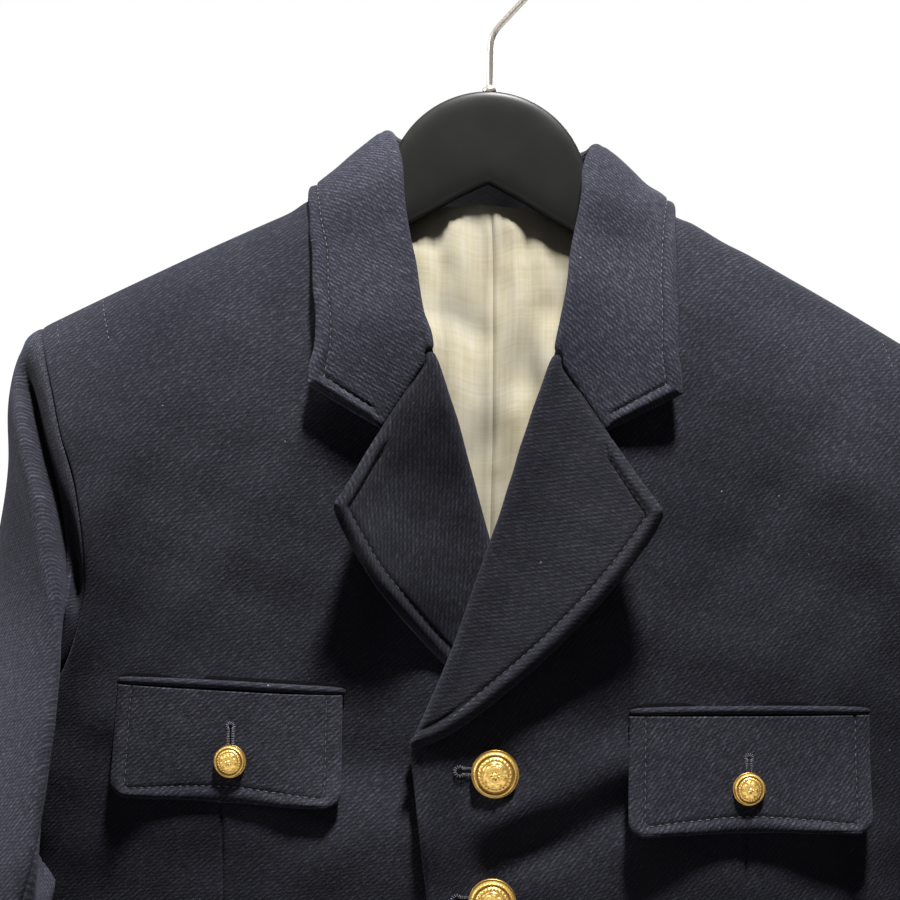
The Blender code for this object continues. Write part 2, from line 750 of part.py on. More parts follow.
def hanger_ring(x):
    """One upright section of the hanger, kept inside the shoulders of the cloth."""
    top = float(hanger_top(x))
    bottom = float(np.interp(abs(x), HANGER["x"], HANGER["bottom"]))
    half = float(np.interp(abs(x), HANGER["x"], HANGER["half"]))
    plate = float(ease((60 - abs(x)) / 20))
    power = 2 + 1.6 * plate
    ring = []
    for k in range(16):
        angle = 2 * math.pi * k / 16
        cos, sin = math.cos(angle), math.sin(angle)
        y = half * math.copysign(abs(cos) ** (2 / power), cos)
        z = (top + bottom) / 2 + (top - bottom) / 2 * math.copysign(abs(sin) ** (2 / power), sin)
        if abs(x) > HANGER_NECK[1]:
            room = float(-front_y(1, abs(x), z)) - WALL - HANGER_ROOM
            room_back = float(back_y(abs(x), z)) - WALL - LINING_WALL - HANGER_ROOM
            y = max(-0.8 * max(room, 0.6), min(0.8 * max(room_back, 0.6), y))
        ring.append((x, y, z))
    return ring


def hanger_body():
    half = (8, 18, 28, 36, 42, 45, 46.6, 49, 56, 66, 80, 100, 125, 150, 170, 186, 195, 200, HANGER_HALF)
    stations = [-x for x in half[::-1]] + [0] + list(half)
    return loft("hanger_body", [hanger_ring(x) for x in stations], "charcoal_plastic")


def hanger_hook():
    centre = -(HOOK_RADIUS - HOOK_WIRE)
    knee = centre - HOOK_RADIUS / math.sin(HOOK_LEAN)
    foot = HANGER_NECK[0] + HANGER_NECK[1] + 0.3
    path = [(0, foot, 3.4), (0, foot + 1.6, 3.4), (0, foot + 2.2, 2.6), (0, foot + 3.0, HOOK_WIRE)]
    path += [(0, knee - 5, HOOK_WIRE), (0.35, knee - 1.8, HOOK_WIRE), (1.5, knee + 1.7, HOOK_WIRE)]
    for step in range(19):
        turn = -HOOK_LEAN + (HOOK_END + HOOK_LEAN) * step / 18
        path.append((HOOK_RADIUS * math.cos(turn), centre + HOOK_RADIUS * math.sin(turn), HOOK_WIRE))
    path.append((path[-1][0] + 0.4, path[-1][1] - 1.0, HOOK_WIRE * 0.6))
    points = np.array(path)
    ways = np.gradient(points[:, :2], axis=0)
    ways[:4] = (0, 1)
    turns = np.arange(10)[:, None] * 2 * math.pi / 10
    rings = []
    for (x, z, radius), way in zip(points, ways):
        away = unit(np.array([way[1], 0, -way[0]]))
        rings.append((x, 0, z) + radius * (away * np.cos(turns) + (0, 1, 0) * np.sin(turns)))
    return loft("hanger_hook", rings, "bright_steel")


for old in list(bpy.data.objects):
    bpy.data.objects.remove(old)

core = (0, 0, -450)
for side, hand in ((1, "left"), (-1, "right")):
    sheet(f"front_{hand}", front_panel(side), core)
    sheet(f"back_{hand}", back_panel(side), core)
    sheet(f"side_{hand}", side_panel(side), core)
    for part, (outer, inner) in zip(("top", "under"), sleeve_pieces(side)):
        shell(f"sleeve_{part}_{hand}", outer, inner, "navy_wool_twill")
    turned = draw_in(lapel(side), rows=(0, 0.45), columns=(0, 0))
    sheet(f"lapel_{hand}", turned, core, "navy_wool_facing", even=False)
    sheet(f"lining_{hand}", lining_half(side), core, "cream_lining", LINING_WALL)

neck = (0, 0, -150)
fall = draw_in(collar_fall(), rows=(0.45, 0.45), columns=(0, 0))
sheet("collar_fall", fall, neck, "navy_wool_facing", even=False)
sheet("collar_stand", collar_stand(), neck, "navy_wool_facing")

for row, hand in ((0, "right"), (1, "left")):
    side = int(POCKETS["side"][row])
    sheet(f"pocket_flap_{hand}", flap(row), core)
    sheet(f"pocket_welt_{hand}", welt(row), core, wall=WELT[1])
    x = side * POCKETS["x"][row]
    z = POCKETS["z"][row] + POCKETS["button"][row]
    foot = on_front(side, x, z, WALL + EASE + 0.5)
    button(f"pocket_button_{hand}", foot, out_of_front(side, x, z), 7.5)

for number in range(BUTTON_COUNT):
    x, z = FIRST_BUTTON[0], FIRST_BUTTON[1] - number * BUTTON_SPACING
    foot = on_front(1, x, z, 0.1)
    button(f"front_button_{number + 1}", foot, out_of_front(1, x, z), 10.5)

hanger_body()
hanger_hook()
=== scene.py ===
"""A tailored navy jacket on its hanger: the cloth, seams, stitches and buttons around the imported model.

Lengths are in millimetres until a mesh is made. +Z is up and the front faces -Y. Side +1 is the wearer's left,
which laps over. Each piece of cloth is a fine grid of points on the same form as its solid.
"""
import math

import bpy
import numpy as np
from mathutils import Matrix, Vector

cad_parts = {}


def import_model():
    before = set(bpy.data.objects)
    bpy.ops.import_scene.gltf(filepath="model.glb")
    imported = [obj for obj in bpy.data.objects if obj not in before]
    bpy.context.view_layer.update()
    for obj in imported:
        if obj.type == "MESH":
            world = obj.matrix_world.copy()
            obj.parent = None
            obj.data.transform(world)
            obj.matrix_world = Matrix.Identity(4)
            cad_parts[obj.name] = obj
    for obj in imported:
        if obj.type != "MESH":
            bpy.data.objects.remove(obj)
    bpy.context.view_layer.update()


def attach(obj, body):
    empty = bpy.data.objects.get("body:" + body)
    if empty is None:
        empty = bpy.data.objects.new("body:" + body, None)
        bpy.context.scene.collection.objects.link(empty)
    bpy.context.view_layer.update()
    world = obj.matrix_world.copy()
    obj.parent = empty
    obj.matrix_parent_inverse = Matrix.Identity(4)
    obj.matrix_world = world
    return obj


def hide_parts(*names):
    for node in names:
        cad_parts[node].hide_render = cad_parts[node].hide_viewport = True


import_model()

MM = 0.001
WALL = 2.0               # body cloth, with its canvas
LINING_WALL = 1.0
LINING_EASE = 1.3        # air between the lining and the back
LINING_IN = 5.0          # the lining stops this far short of the back's outer edge
LINING_BEHIND = 12.0     # its neck hangs this far behind the middle of the hanger
LINING_AHEAD = -1.0      # and it billows forward to here below it
LOBE_MIDDLE = -4.0       # the middle of its billow
EASE = 0.4               # air between one layer and the next
SHOULDER_TOP = -94.3     # where the two shoulder lines would meet
SHOULDER_FALL = 0.5195   # how far they fall for each millimetre out
SHOULDER_ROUND = 105.0   # the cloth turns over the shoulder within this drop
ROUND_POWER = 2.2        # how square that turn is
FRONT_POWER = 2.5        # how square the front's and the back's level sections are
BACK_POWER = 2.6
UNDERLAP = 9.9           # how far the front that laps under is sunk, beside the lapels and below them
UNDERLAP_LOW = 3.0
ROLL = 3.8               # radius of a rolled fold
UNDER_ROLL = 0.8         # how much wider the lapel that lies under is rolled
RETURN = 9.0             # how far the cloth runs back under a roll
LAPEL_LIFT = 24.0        # how far the free edges of the lapels and of the collar stand off the chest
COLLAR_LIFT = 9.0
COLLAR_BELLY = 3.0       # how far the back of the collar bellies out
SIDE_FRONT = 0.93        # the side panel's seams, as shares of half the body's width
SIDE_BACK = 0.90
ARMHOLE_SCOOP = 24.0     # how far the foot of the armhole dips
FRONT_SEAM = math.radians(130)   # the sleeve's seams, as turns round it
BACK_SEAM = math.radians(-98)
HEAD_CREASE = 7.0        # how far the sleeve is pressed in below its head
HEAD_ROLL = (3.2, 2.0, 3.0)   # how far the head rolls out over its seam: across, forward and down
OFF_BODY = 4.4           # room between the body and the sleeve
PRESSED = 6.0            # how far the sleeve presses into the body's side
BUTTON_SPACING = 57.5
FIRST_BUTTON = (4.4, -398.0)
BUTTON_COUNT = 5
FRONT_BUTTON_RADIUS = 10.6
POCKET_BUTTON_RADIUS = 7.3
EDGE_X = -34.0           # the upper front's edge below the break
EDGE_LIFT = 3.6          # how far that edge lifts between two buttons
BUTTON_DENT = 0.8        # how far each button draws the cloth in
DART = (118.0, -415.0, 0.03)   # where the dart's line lies, and how far it leans out for each millimetre up
DART_DEEP = 0.9
STITCH_IN = 6.8          # topstitching runs this far inside a finished edge
RIB = 1.9                # one rib of the twill
GRID = 3.6               # usual spacing of the cloth's points, and that of pieces with their own
BODY_GRID = 4.4
SLEEVE_GRID = (4.0, 2.6)
TURNED_GRID = (2.0, 2.2)
LINING_GRID = (3.6, 4.0)
FLAP_GRID = 2.2
STAND_GRID = 2.6
HANDS = ((1, "left"), (-1, "right"))   # the wearer's
POCKET_HANDS = ((0, "right"), (1, "left"))


def table(names, *rows):
    """The columns of a table that is written in rows."""
    return dict(zip(names.split(), np.array(rows, float).T))


# How the hung cloth is pulled off its even form: at (x, z) it lies this far across and up from it.
PULLS = table(
    "x z across up",
    (50, -102, -6.0, -4.0),
    (70, -118, -6.5, -3.5),
    (86, -138, -3.5, -0.5),
    (85, -170, -3.6, 0),
    (82, -200, -2.0, 0),
    (82, -227, 0, 0),
    (49, -245, 0, 0),
    (37, -150, -1.6, 0),
    (30, -190, 0, 0),
    (20, -240, 0, 0),
    (0, -120, -3.5, 0),
    (-50, -102, -1.0, 0.5),
    (-70, -118, 0.5, 1.0),
    (-88, -138, -2.5, 0.5),
    (-85, -172, 1.5, 0),
    (-83, -202, 3.2, 0),
    (-82, -229, 0.3, 0),
    (-49, -245, 0, 0),
    (-39, -150, -3.7, 0),
    (-31, -185, -3.0, 0),
    (-26, -209, -0.5, 0),
    (-60, -190, 0, 0),
    (60, -190, -1.0, 0),
    (-206, -240, 1.5, 0),
    (-196, -285, 3.0, 0),
    (-194, -335, 4.0, 0),
    (-130, -200, 0, 0),
    (-130, -300, 0, 0),
    (130, -200, 0, 0),
    (-95, -149, -1.3, -1.8),
    (97, -147, -3.4, 1.9),
    (128, -162, -1.4, 1.7),
    (152, -176, -0.3, 1.2),
)
PULL_REACH = 9.0
PULL_FADE = 40.0
SHOULDER_TILT = 0.030   # the jacket hangs unevenly, by this much for each millimetre out
TILT_DEEP = 90.0        # and evenly again this far below the shoulders

# Level sections of the body: half its width, how deep its front and back are, and how far back its sides lie.
BODY = table(
    "z half front back side",
    (-100, 248, 42, 50, 0),
    (-150, 248, 46, 51, 0),
    (-200, 246, 52, 52, 1),
    (-250, 242, 58, 53, 3),
    (-300, 237, 63, 54, 5),
    (-350, 233, 67, 54, 7),
    (-411, 228, 69, 53, 8),
    (-480, 222, 67, 49, 8),
    (-560, 216, 63, 46, 8),
    (-640, 219, 61, 47, 6),
    (-740, 229, 62, 51, 4),
    (-830, 238, 64, 55, 2),
)

# One row per soft fold of the skirt: from its start to its end, how wide and how high it stands.
FOLDS = table(
    "side x0 z0 x1 z1 width rise",
    (1, 150, -560, 165, -790, 26, 4.0),
    (1, 96, -600, 100, -800, 24, -3.0),
    (-1, -150, -540, -170, -790, 26, 4.0),
    (-1, -78, -600, -66, -800, 30, -3.0),
)

# One row per small crease of the fronts, in the same way.
CREASES = table(
    "side x0 z0 x1 z1 width rise",
    (1, 2, -419, 62, -391, 10, 2.6),
    (1, 4, -441, 66, -412, 10, -2.8),
    (-1, -60, -395, -100, -330, 22, -1.6),
    (1, 60, -330, 150, -345, 24, 1.4),
    (1, 70, -428, 150, -470, 16, 1.2),
    (1, 120, -250, 170, -330, 20, -1.2),
    (1, 168, -262, 196, -330, 14, 1.5),
    (1, 20, -478, 120, -520, 12, -0.9),
    (1, 30, -540, 135, -590, 15, 1.2),
    (-1, -120, -225, -165, -320, 22, -1.4),
    (-1, -166, -240, -190, -330, 14, 1.6),
    (-1, -190, -352, -150, -425, 16, 1.5),
    (-1, -50, -430, -120, -470, 16, 1.0),
    (-1, -40, -520, -130, -575, 15, -1.0),
    (-1, -170, -395, -178, -520, 10, -1.2),
)

# The inner and outer edges of a front and of a back, from the neck and the shoulder's end down to the
# armhole's foot.
FRONT = table(
    "x_in z_in x_out z_out",
    (66, -128.6, 216.5, -206.8),
    (65, -129.8, 216, -208.2),
    (62, -133, 214.5, -213),
    (55, -145, 211, -224),
    (47, -163, 205.5, -240),
    (37, -186, 199, -260),
    (26.2, -209.4, 192.5, -283),
    (14, -248, 188.5, -308),
    (0, -295, 190, -332),
    (-17, -345, 197, -357),
    (-34, -388, 211, -384),
)

BACK = table(
    "x_in z_in x_out z_out",
    (66, -128.6, 216.5, -206.8),
    (63.5, -129.3, 216, -208.2),
    (56, -131.6, 214, -213),
    (38, -135.4, 210.5, -224),
    (18, -138, 206, -241),
    (0, -138.8, 201, -262),
    (0, -165, 197, -286),
    (0, -205, 195, -312),
    (0, -250, 196, -338),
    (0, -300, 200, -362),
    (0, -350, 206, -388),
)

# Rows of the lining: where each starts at the centre, and how far it slants down to its outer edge.
LINING = table(
    "z slant",
    (-139.5, 80),
    (-153, 80),
    (-190, 68),
    (-235, 55),
    (-285, 40),
    (-340, 24),
    (-400, 6),
    (-470, 0),
    (-545, 0),
    (-625, 0),
    (-710, 0),
    (-800, 0),
)

# Rows below the armhole, down to the hem, and the front's edge at each.
BELOW = (-428, -475, -520, -570, -625, -680, -735, -785, -830)
EDGE_BELOW = (-28.5, -22.5, -20.0, -20.0, -20.0, -20.0, -20.0, -20.0, -20.0)

# Sections of half the collar, from its notch to its centre back: its fold, its free edge and its neck seam.
COLLAR = table(
    "fold_x fold_y fold_z edge_x edge_y edge_z seam_x seam_y seam_z",
    (26.2, -57, -209.4, 82.3, -62, -227.5, 26.2, -55, -209.4),
    (28.8, -54, -196, 82.0, -59, -212, 31.5, -53, -198),
    (32.5, -50, -176, 82.3, -51, -190, 39.0, -46, -181.4),
    (37.0, -42, -152, 84.0, -41, -167, 48.5, -36, -159.5),
    (41.8, -29, -129, 86.0, -26, -149, 57.0, -22, -141.5),
    (46.8, -14, -112, 87.6, -10, -137.5, 63.5, -7, -130.8),
    (50.3, 3, -103.5, 86.0, 9, -136.5, 65.8, 1, -128.6),
    (46.8, 22, -104, 75.8, 31, -145, 54.3, 19, -131),
    (29.0, 37, -107.5, 48.0, 50, -155.5, 33.5, 31.5, -136),
    (0.0, 43.5, -109, 0.0, 58.5, -160.5, 0.0, 38.5, -138.5),
)
NOTCH = (49.4, -244.8)
NOTCH_AT = 0.5          # the notch, as a share of the way across the collar's end and the lapel's
ON_CHEST = 4            # this many of the sections lie on the chest

# Sections of a lapel, from the break up to the collar: its roll line and its free edge.
LAPEL = table(
    "roll_x roll_z edge_x edge_z",
    (-33.4, -385.0, -32.6, -387.2),
    (-27.3, -371, -17.5, -380.5),
    (-17.0, -345, 2.0, -365.5),
    (-6.5, -314, 27.0, -342.5),
    (4.0, -282, 50.5, -316.5),
    (13.0, -250, 66.5, -294.5),
    (20.0, -228, 71.8, -284.0),
    (26.2, -209.4, 72.3, -279.7),
)
CROSSED_ROWS = 3        # this many rows of the lapel underneath lie flat, where the other crosses them

# Rings of a sleeve: its outermost and innermost points, the middle of its depth, half that depth, how far it
# swings forward at its outer side, how far it bows across, and how far it has left the armhole's own line.
SLEEVE = table(
    "x_out z_out x_in z_in y depth swing bow share",
    (216.5, -206.8, 228.0, -410.0, 0, 42, 0, -30, 0),
    (233.0, -213.0, 250.0, -436.0, 0, 46, 0, -32, 0.12),
    (239.7, -230.7, 243.0, -438.0, -1, 49, 2, -27, 0.28),
    (241.5, -239.8, 222.0, -441.0, -2, 52, 4, -24, 0.46),
    (241.5, -258.0, 208.0, -446.0, -3, 54, 13, -23, 0.66),
    (237.7, -284.0, 201.0, -453.0, -10, 56, 27, -22, 0.85),
    (247.0, -330.0, 197.0, -461.0, -15, 52, 42, -17, 1),
    (268.0, -390.0, 197.0, -480.0, -17, 48, 48, -11, 1),
    (290.0, -450.0, 196.0, -503.0, -17, 47, 48, -5, 1),
    (304.0, -515.0, 194.5, -540.0, -18, 46, 47, 0, 1),
    (309.0, -585.0, 193.5, -594.0, -20, 44, 42, 0, 1),
    (312.0, -660.0, 199.0, -661.0, -23, 41, 31, 0, 1),
    (314.0, -740.0, 205.0, -740.0, -28, 37, 20, 0, 1),
    (316.0, -815.0, 212.0, -815.0, -32, 33, 8, 0, 1),
)

# Each chest pocket: the middle of its flap's top edge, the flap's size, how far that edge falls towards the
# buttons, the middle and width of its mouth, where its button is, and how far the flap's lower edge stands off
# at its outer corner, its middle and its inner corner.
POCKETS = table(
    "side x z wide tall fall mouth mouth_wide button_x button outer middle inner",
    (-1, 117.0, -364.8, 103, 49.2, 1.6, 116.6, 106, 114.0, -31.0, 2.6, 0.3, 4.0),
    (1, 118.0, -370.2, 108, 51.0, 1.6, 118.0, 109, 117.1, -32.0, 6.6, 2.4, 7.0),
)
FLAP_CORNER = 6.0
FLAP_WALL = 1.5
FLAP_STAND_POWER = 1.7
WELT_TALL = 4.6

HANGER_HALF = 203.0
HANGER_NECK = (-131.5, 47.5)   # the neck plate's centre height and radius
HANGER_DROP = 4.0       # how far the arms lie under the shoulders beside the neck
HANGER_ROOM = 3.0       # room between an arm and the cloth before and behind it
HANGER_AROUND = 48
HANGER_PEAK = 14.0      # the plate's lower edge comes to a point within this of its middle
HANGER_ASIDE = -5.0   # the neck plate and the hook's shank hang to one side of the hook's crown
# The hanger's lower edge and half its thickness.
HANGER = table(
    "x bottom half",
    (0, -127.5, 6.5),
    (12, -133.5, 6.5),
    (25, -141, 6.5),
    (46, -153, 7.5),
    (70, -166, 10),
    (110, -186, 14),
    (150, -206, 16),
    (185, -222, 16),
    (197, -225, 14),
    (HANGER_HALF, -223, 10),
)
HOOK_WIRE = 1.45
HOOK_RADIUS = 21.1
HOOK_LEAN = math.radians(42)
HOOK_END = math.radians(202)
HOOK_BEND = 6.0         # length of the wire's bend, each side of its knee
# The ferrule where the wire enters the plate: how high over the plate each ring is, and its radius.
FERRULE = ((-0.4, 3.2), (0, 3.4), (1.2, 3.4), (1.7, 3.1), (2, 2.4), (2.1, 1.9), (2.6, 1.5), (3.2, HOOK_WIRE))


# ---- the jacket's form ----

def smooth(at, xs, ys):
    """A curve through the points: cubic, with each slope taken from the neighbours."""
    xs, ys = np.asarray(xs, float), np.asarray(ys, float)
    if xs[0] > xs[-1]:
        xs, ys = xs[::-1], ys[::-1]
    slope = np.gradient(ys, xs)
    at = np.clip(at, xs[0], xs[-1])
    i = np.clip(np.searchsorted(xs, at) - 1, 0, len(xs) - 2)
    step = xs[i + 1] - xs[i]
    t = (at - xs[i]) / step
    start = (2 * t**3 - 3 * t**2 + 1) * ys[i] + (t**3 - 2 * t**2 + t) * step * slope[i]
    return start + (3 * t**2 - 2 * t**3) * ys[i + 1] + (t**3 - t**2) * step * slope[i + 1]


def ease(t):
    t = np.clip(t, 0, 1)
    return t * t * (3 - 2 * t)


def between(value, start, end):
    """0 up to the start and 1 past the end, with a soft run from one to the other."""
    return ease((value - start) / (end - start))


def bump(distance, width):
    """A soft ridge: 1 on its line, fading over its width."""
    return np.exp(-((distance / width) ** 2))


def unit(v):
    return v / np.linalg.norm(v, axis=-1, keepdims=True)


def shoulder(x):
    return SHOULDER_TOP - SHOULDER_FALL * np.abs(x)


def tilted(x):
    return -SHOULDER_TILT * x * between(np.abs(x), 50, 110)


def hung(points):
    """The points as the cloth hangs: its shoulders tilted, and pulled a little out of true."""
    points = np.array(points, float)
    x, z = points[..., 0], points[..., 2]
    far = np.hypot(x[..., None] - PULLS["x"], z[..., None] - PULLS["z"])
    weight = (far**2 + PULL_REACH**2) ** -2.0
    total = weight.sum(axis=-1) + PULL_FADE**-4.0
    drop = (shoulder(x) - z).clip(0)
    points[..., 0] += (weight * PULLS["across"]).sum(axis=-1) / total
    points[..., 2] += (weight * PULLS["up"]).sum(axis=-1) / total + tilted(x) * bump(drop, TILT_DEEP)
    return points


def body_at(column, z):
    return smooth(z, BODY["z"], BODY[column])


def across(x, z, power):
    """How full a level section is at x: 1 at its middle and 0 at its side."""
    share = np.clip(np.abs(x) / body_at("half", z), 0, 1)
    return (1 - share**power) ** (1 / power)


def rounding(x, z):
    """How far the cloth has turned down from the shoulder line: 0 on it and 1 well below."""
    drop = np.clip((shoulder(x) - z) / SHOULDER_ROUND, 0, 1)
    return (1 - (1 - drop) ** ROUND_POWER) ** (1 / ROUND_POWER)


def fold_rise(side, x, z, rows=FOLDS):
    """How high the folds of a table stand at (x, z) on one side."""
    total = np.zeros(np.broadcast(x, z).shape)
    for on, x0, z0, x1, z1, width, rise in zip(*rows.values()):
        if on != side:
            continue
        length = math.hypot(x1 - x0, z1 - z0)
        ux, uz = (x1 - x0) / length, (z1 - z0) / length
        along = ((x - x0) * ux + (z - z0) * uz) / length
        off = ((x - x0) * uz - (z - z0) * ux) / width
        past_end = (np.clip(along, 0, 1) - along) * length / width
        total = total + rise * np.exp(-off**2 - past_end**2)
    return total


def under(side, x, z):
    """How far a front is sunk under the other one."""
    if side > 0:
        return 0 * x * z
    sink = UNDERLAP + (UNDERLAP_LOW - UNDERLAP) * between(z, -392, -432)
    return sink * between(x, -98, -40) * between(z, -212, -284)


def front_y(side, x, z):
    turn = rounding(x, z)
    depth = body_at("front", z) * across(x, z, FRONT_POWER)
    return body_at("side", z) * turn - (depth + fold_rise(side, x, z)) * turn + under(side, x, z)


def back_y(x, z):
    turn = rounding(x, z)
    return (body_at("side", z) + body_at("back", z) * across(x, z, BACK_POWER)) * turn


def on_front(side, x, z, lift=0.0):
    """Points lifted off a front along its normal."""
    x, z = np.broadcast_arrays(np.asarray(x, float), np.asarray(z, float))
    out = out_of_front(side, x, z)
    return np.stack([x, front_y(side, x, z), z], axis=-1) + np.asarray(lift, float)[..., None] * out


def out_of_front(side, x, z, step=1.0):
    slope_x = (front_y(side, x + step, z) - front_y(side, x - step, z)) / (2 * step)
    slope_z = (front_y(side, x, z + step) - front_y(side, x, z - step)) / (2 * step)
    return unit(np.stack([slope_x, -1.0 + 0 * slope_x, slope_z], axis=-1))


def on_back(x, z, lift, step=1.0):
    slope_x = (back_y(x + step, z) - back_y(x - step, z)) / (2 * step)
    slope_z = (back_y(x, z + step) - back_y(x, z - step)) / (2 * step)
    out = unit(np.stack([-slope_x, 1.0 + 0 * slope_x, -slope_z], axis=-1))
    return np.stack([x, back_y(x, z), z], axis=-1) + np.asarray(lift, float)[..., None] * out


# ---- grids of cloth ----

# How far the lines of a grid lie from its edge: a stitched edge, a seam, or neither.
STITCHED = np.array((0, 0.4, 0.9, 1.5, 2.3, 3.3, 4.5, 5.6, 6.3, STITCH_IN, 7.3, 8.1, 9.4))
SEAMED = np.array((0, 0.35, 0.8, 1.4, 2.3, 3.6, 5.4))
OPEN = np.array((0, 0.6, 1.6, 3.2))
STITCH_ROW = list(STITCHED).index(STITCH_IN)   # the line that lies under the topstitching
CLOSE_SHARE = 0.45   # the close lines take up no more than this share of a line's length
BESIDE = np.array((-3.2, -1.7, -0.9, -0.45, 0, 0.45, 0.9, 1.7, 3.2))   # and beside a dart
# The same across a rolled fold: its return, and then closely round the roll.
ROLLED = np.concatenate([(0, 0.6, 1.6, 3.2, 5.6), np.arange(8.2, 22.5, 0.75)])


def lengths(grid, axis):
    """The distance run along each line of a grid."""
    step = np.linalg.norm(np.diff(grid, axis=axis), axis=2)
    start = np.zeros_like(np.take(step, [0], axis=axis))
    return np.concatenate([start, np.cumsum(step, axis=axis)], axis=axis)


def respaced(grid, axis, near=OPEN, far=OPEN, step=GRID, beside=None):
    """The grid with its lines spaced evenly, but closely at its edges and beside a dart."""
    lines = grid if axis else grid.transpose(1, 0, 2)
    run = lengths(lines, 1)
    room = run[:, -1].max() - near[-1] - far[-1]
    counts = [max(3, int(round(room / step)))]
    if beside is not None:
        split = beside.mean() / run[:, -1].mean()
        counts = [max(3, int(round(room * split / step))), max(3, int(round(room * (1 - split) / step)))]
    made = []
    for k, (line, at) in enumerate(zip(lines, run)):
        fit = min(1.0, CLOSE_SHARE * at[-1] / max(near[-1], far[-1]))
        start, end = near * fit, at[-1] - far[::-1] * fit
        if beside is None:
            middle = np.linspace(start[-1], end[0], counts[0])[1:-1]
        else:
            dart = beside[k] + BESIDE
            before = np.linspace(start[-1], dart[0], counts[0])[1:-1]
            middle = np.concatenate([before, dart, np.linspace(dart[-1], end[0], counts[1])[1:-1]])
        spots = np.concatenate([start, middle, end])
        made.append(np.stack([smooth(spots, at, line[:, a]) for a in range(3)], axis=1))
    made = np.array(made)
    return made if axis else made.transpose(1, 0, 2)


def normals(grid, core):
    """The way out of a grid of cloth that faces away from the point core."""
    normal = unit(np.cross(np.gradient(grid, axis=0), np.gradient(grid, axis=1)))
    return normal if ((grid - np.asarray(core, float)) * normal).sum() > 0 else -normal


def turned(degrees):
    """The matrix that turns places on the flat cloth to lie along and across the ribs of its twill."""
    cos, sin = math.cos(math.radians(degrees)), math.sin(math.radians(degrees))
    return np.array([[cos, -sin], [sin, cos]])


def flat_map(grid):
    """Each point's place on the flat cloth."""
    d_across = np.diff(grid, axis=1)
    d_down = np.diff(grid, axis=0)
    step_u = np.hypot(d_across[..., 0], d_across[..., 1]) * np.sign(d_across[..., 0].sum() or 1)
    step_v = np.hypot(d_down[..., 2], d_down[..., 1]) * np.sign(d_down[..., 2].sum() or 1)
    u = grid[:, :1, 0] + np.concatenate([np.zeros((len(grid), 1)), np.cumsum(step_u, axis=1)], axis=1)
    v = grid[:1, :, 2] + np.concatenate([np.zeros((1, grid.shape[1])), np.cumsum(step_v, axis=0)], axis=0)
    return np.stack([u, v], axis=-1)


def edge_shape(d):
    """A topstitched edge: round at its lip, full behind it and drawn down at the stitches."""
    lip = -1.1 * np.clip(1 - d / 2.4, 0, 1) ** 2
    return lip + 0.85 * bump(d - 3.4, 2.1) - 0.75 * bump(d - STITCH_IN, 0.9)


def seam_shape(d):
    """A seam: the cloth turns down into it."""
    return -1.5 * np.exp(-d / 0.8) - 0.35 * bump(d, 4.0)


def plain_shape(d):
    """A folded edge with no stitching: only its lip is round."""
    return -0.9 * np.clip(1 - d / 2.2, 0, 1) ** 2


EDGES = ("top", "bottom", "near", "far")
# How far each kind of rim bulges, in walls of cloth.
RIM = {"stitched": 0.4, "plain": 0.4, "seam": 0.3, "hidden": 0.0}
FAR = 1e3
outer_faces = {}   # the grid of each piece's outer face, as it hangs


def edge_distance(grid):
    down, over = lengths(grid, 0), lengths(grid, 1)
    return {"top": down, "bottom": down[-1:] - down, "near": over, "far": over[:, -1:] - over}


def finished(grid, edges, rise, free_top, stitch_dip, soft, mark):
    """How far the outer face stands off a grid once its edges are finished, and how much painted shade its
    seams, stitch lines and the given mark get.
    """
    away = edge_distance(grid)
    stitched = np.full(grid.shape[:2], FAR)
    lift = rise.copy()
    line = np.zeros(grid.shape[:2]) + mark
    for edge, kind in zip(EDGES, edges):
        if kind == "stitched" and edge == "top" and free_top is not None:
            stitched = np.minimum(stitched, away[edge] + 40 * (1 - free_top))
            lift += seam_shape(away[edge]) * (1 - free_top)
            line += bump(away[edge], 0.8) * (1 - free_top)
        elif kind == "stitched":
            stitched = np.minimum(stitched, away[edge])
        elif kind == "seam":
            lift += seam_shape(away[edge]) * soft
            line += bump(away[edge], 0.8) * soft
        elif kind == "plain":
            lift += plain_shape(away[edge])
    lift += edge_shape(stitched) * stitch_dip
    line += 0.8 * bump(stitched - STITCH_IN, 0.7)
    return lift, line


def rim_of(rows, columns):
    """The points round a grid, in order."""
    near = [i * columns for i in range(rows)]
    bottom = [(rows - 1) * columns + j for j in range(1, columns)]
    far = [i * columns + columns - 1 for i in range(rows - 2, -1, -1)]
    return near + bottom + far + list(range(columns - 2, 0, -1))


def rim_bulge(grid, edges, wall):
    """How far the middle of the rim stands out past each edge, which keeps the seams shut."""
    push = np.zeros_like(grid)
    ways = {
        "top": (np.s_[:1], grid[:1] - grid[1:2]),
        "bottom": (np.s_[-1:], grid[-1:] - grid[-2:-1]),
        "near": (np.s_[:, :1], grid[:, :1] - grid[:, 1:2]),
        "far": (np.s_[:, -1:], grid[:, -1:] - grid[:, -2:-1]),
    }
    for edge, kind in zip(EDGES, edges):
        at, way = ways[edge]
        push[at] += unit(way) * (RIM[kind] * wall)
    return push


def wall_faces(rows, columns, rim):
    """The faces of a closed wall: its outer face, its inner face, and two rows of them round its rim."""
    count = rows * columns
    cell = (np.arange(rows - 1)[:, None] * columns + np.arange(columns - 1)).reshape(-1)
    outer = np.stack([cell, cell + columns, cell + columns + 1, cell + 1], axis=1)
    inner = (outer + count)[:, ::-1]
    here, there = np.array(rim), np.roll(rim, -1)
    middle = np.arange(len(rim)) + 2 * count
    after = np.roll(middle, -1)
    upper = np.stack([here, middle, after, there], axis=1)
    lower = np.stack([middle, here + count, there + count, after], axis=1)
    return np.concatenate([outer, inner, upper, lower])


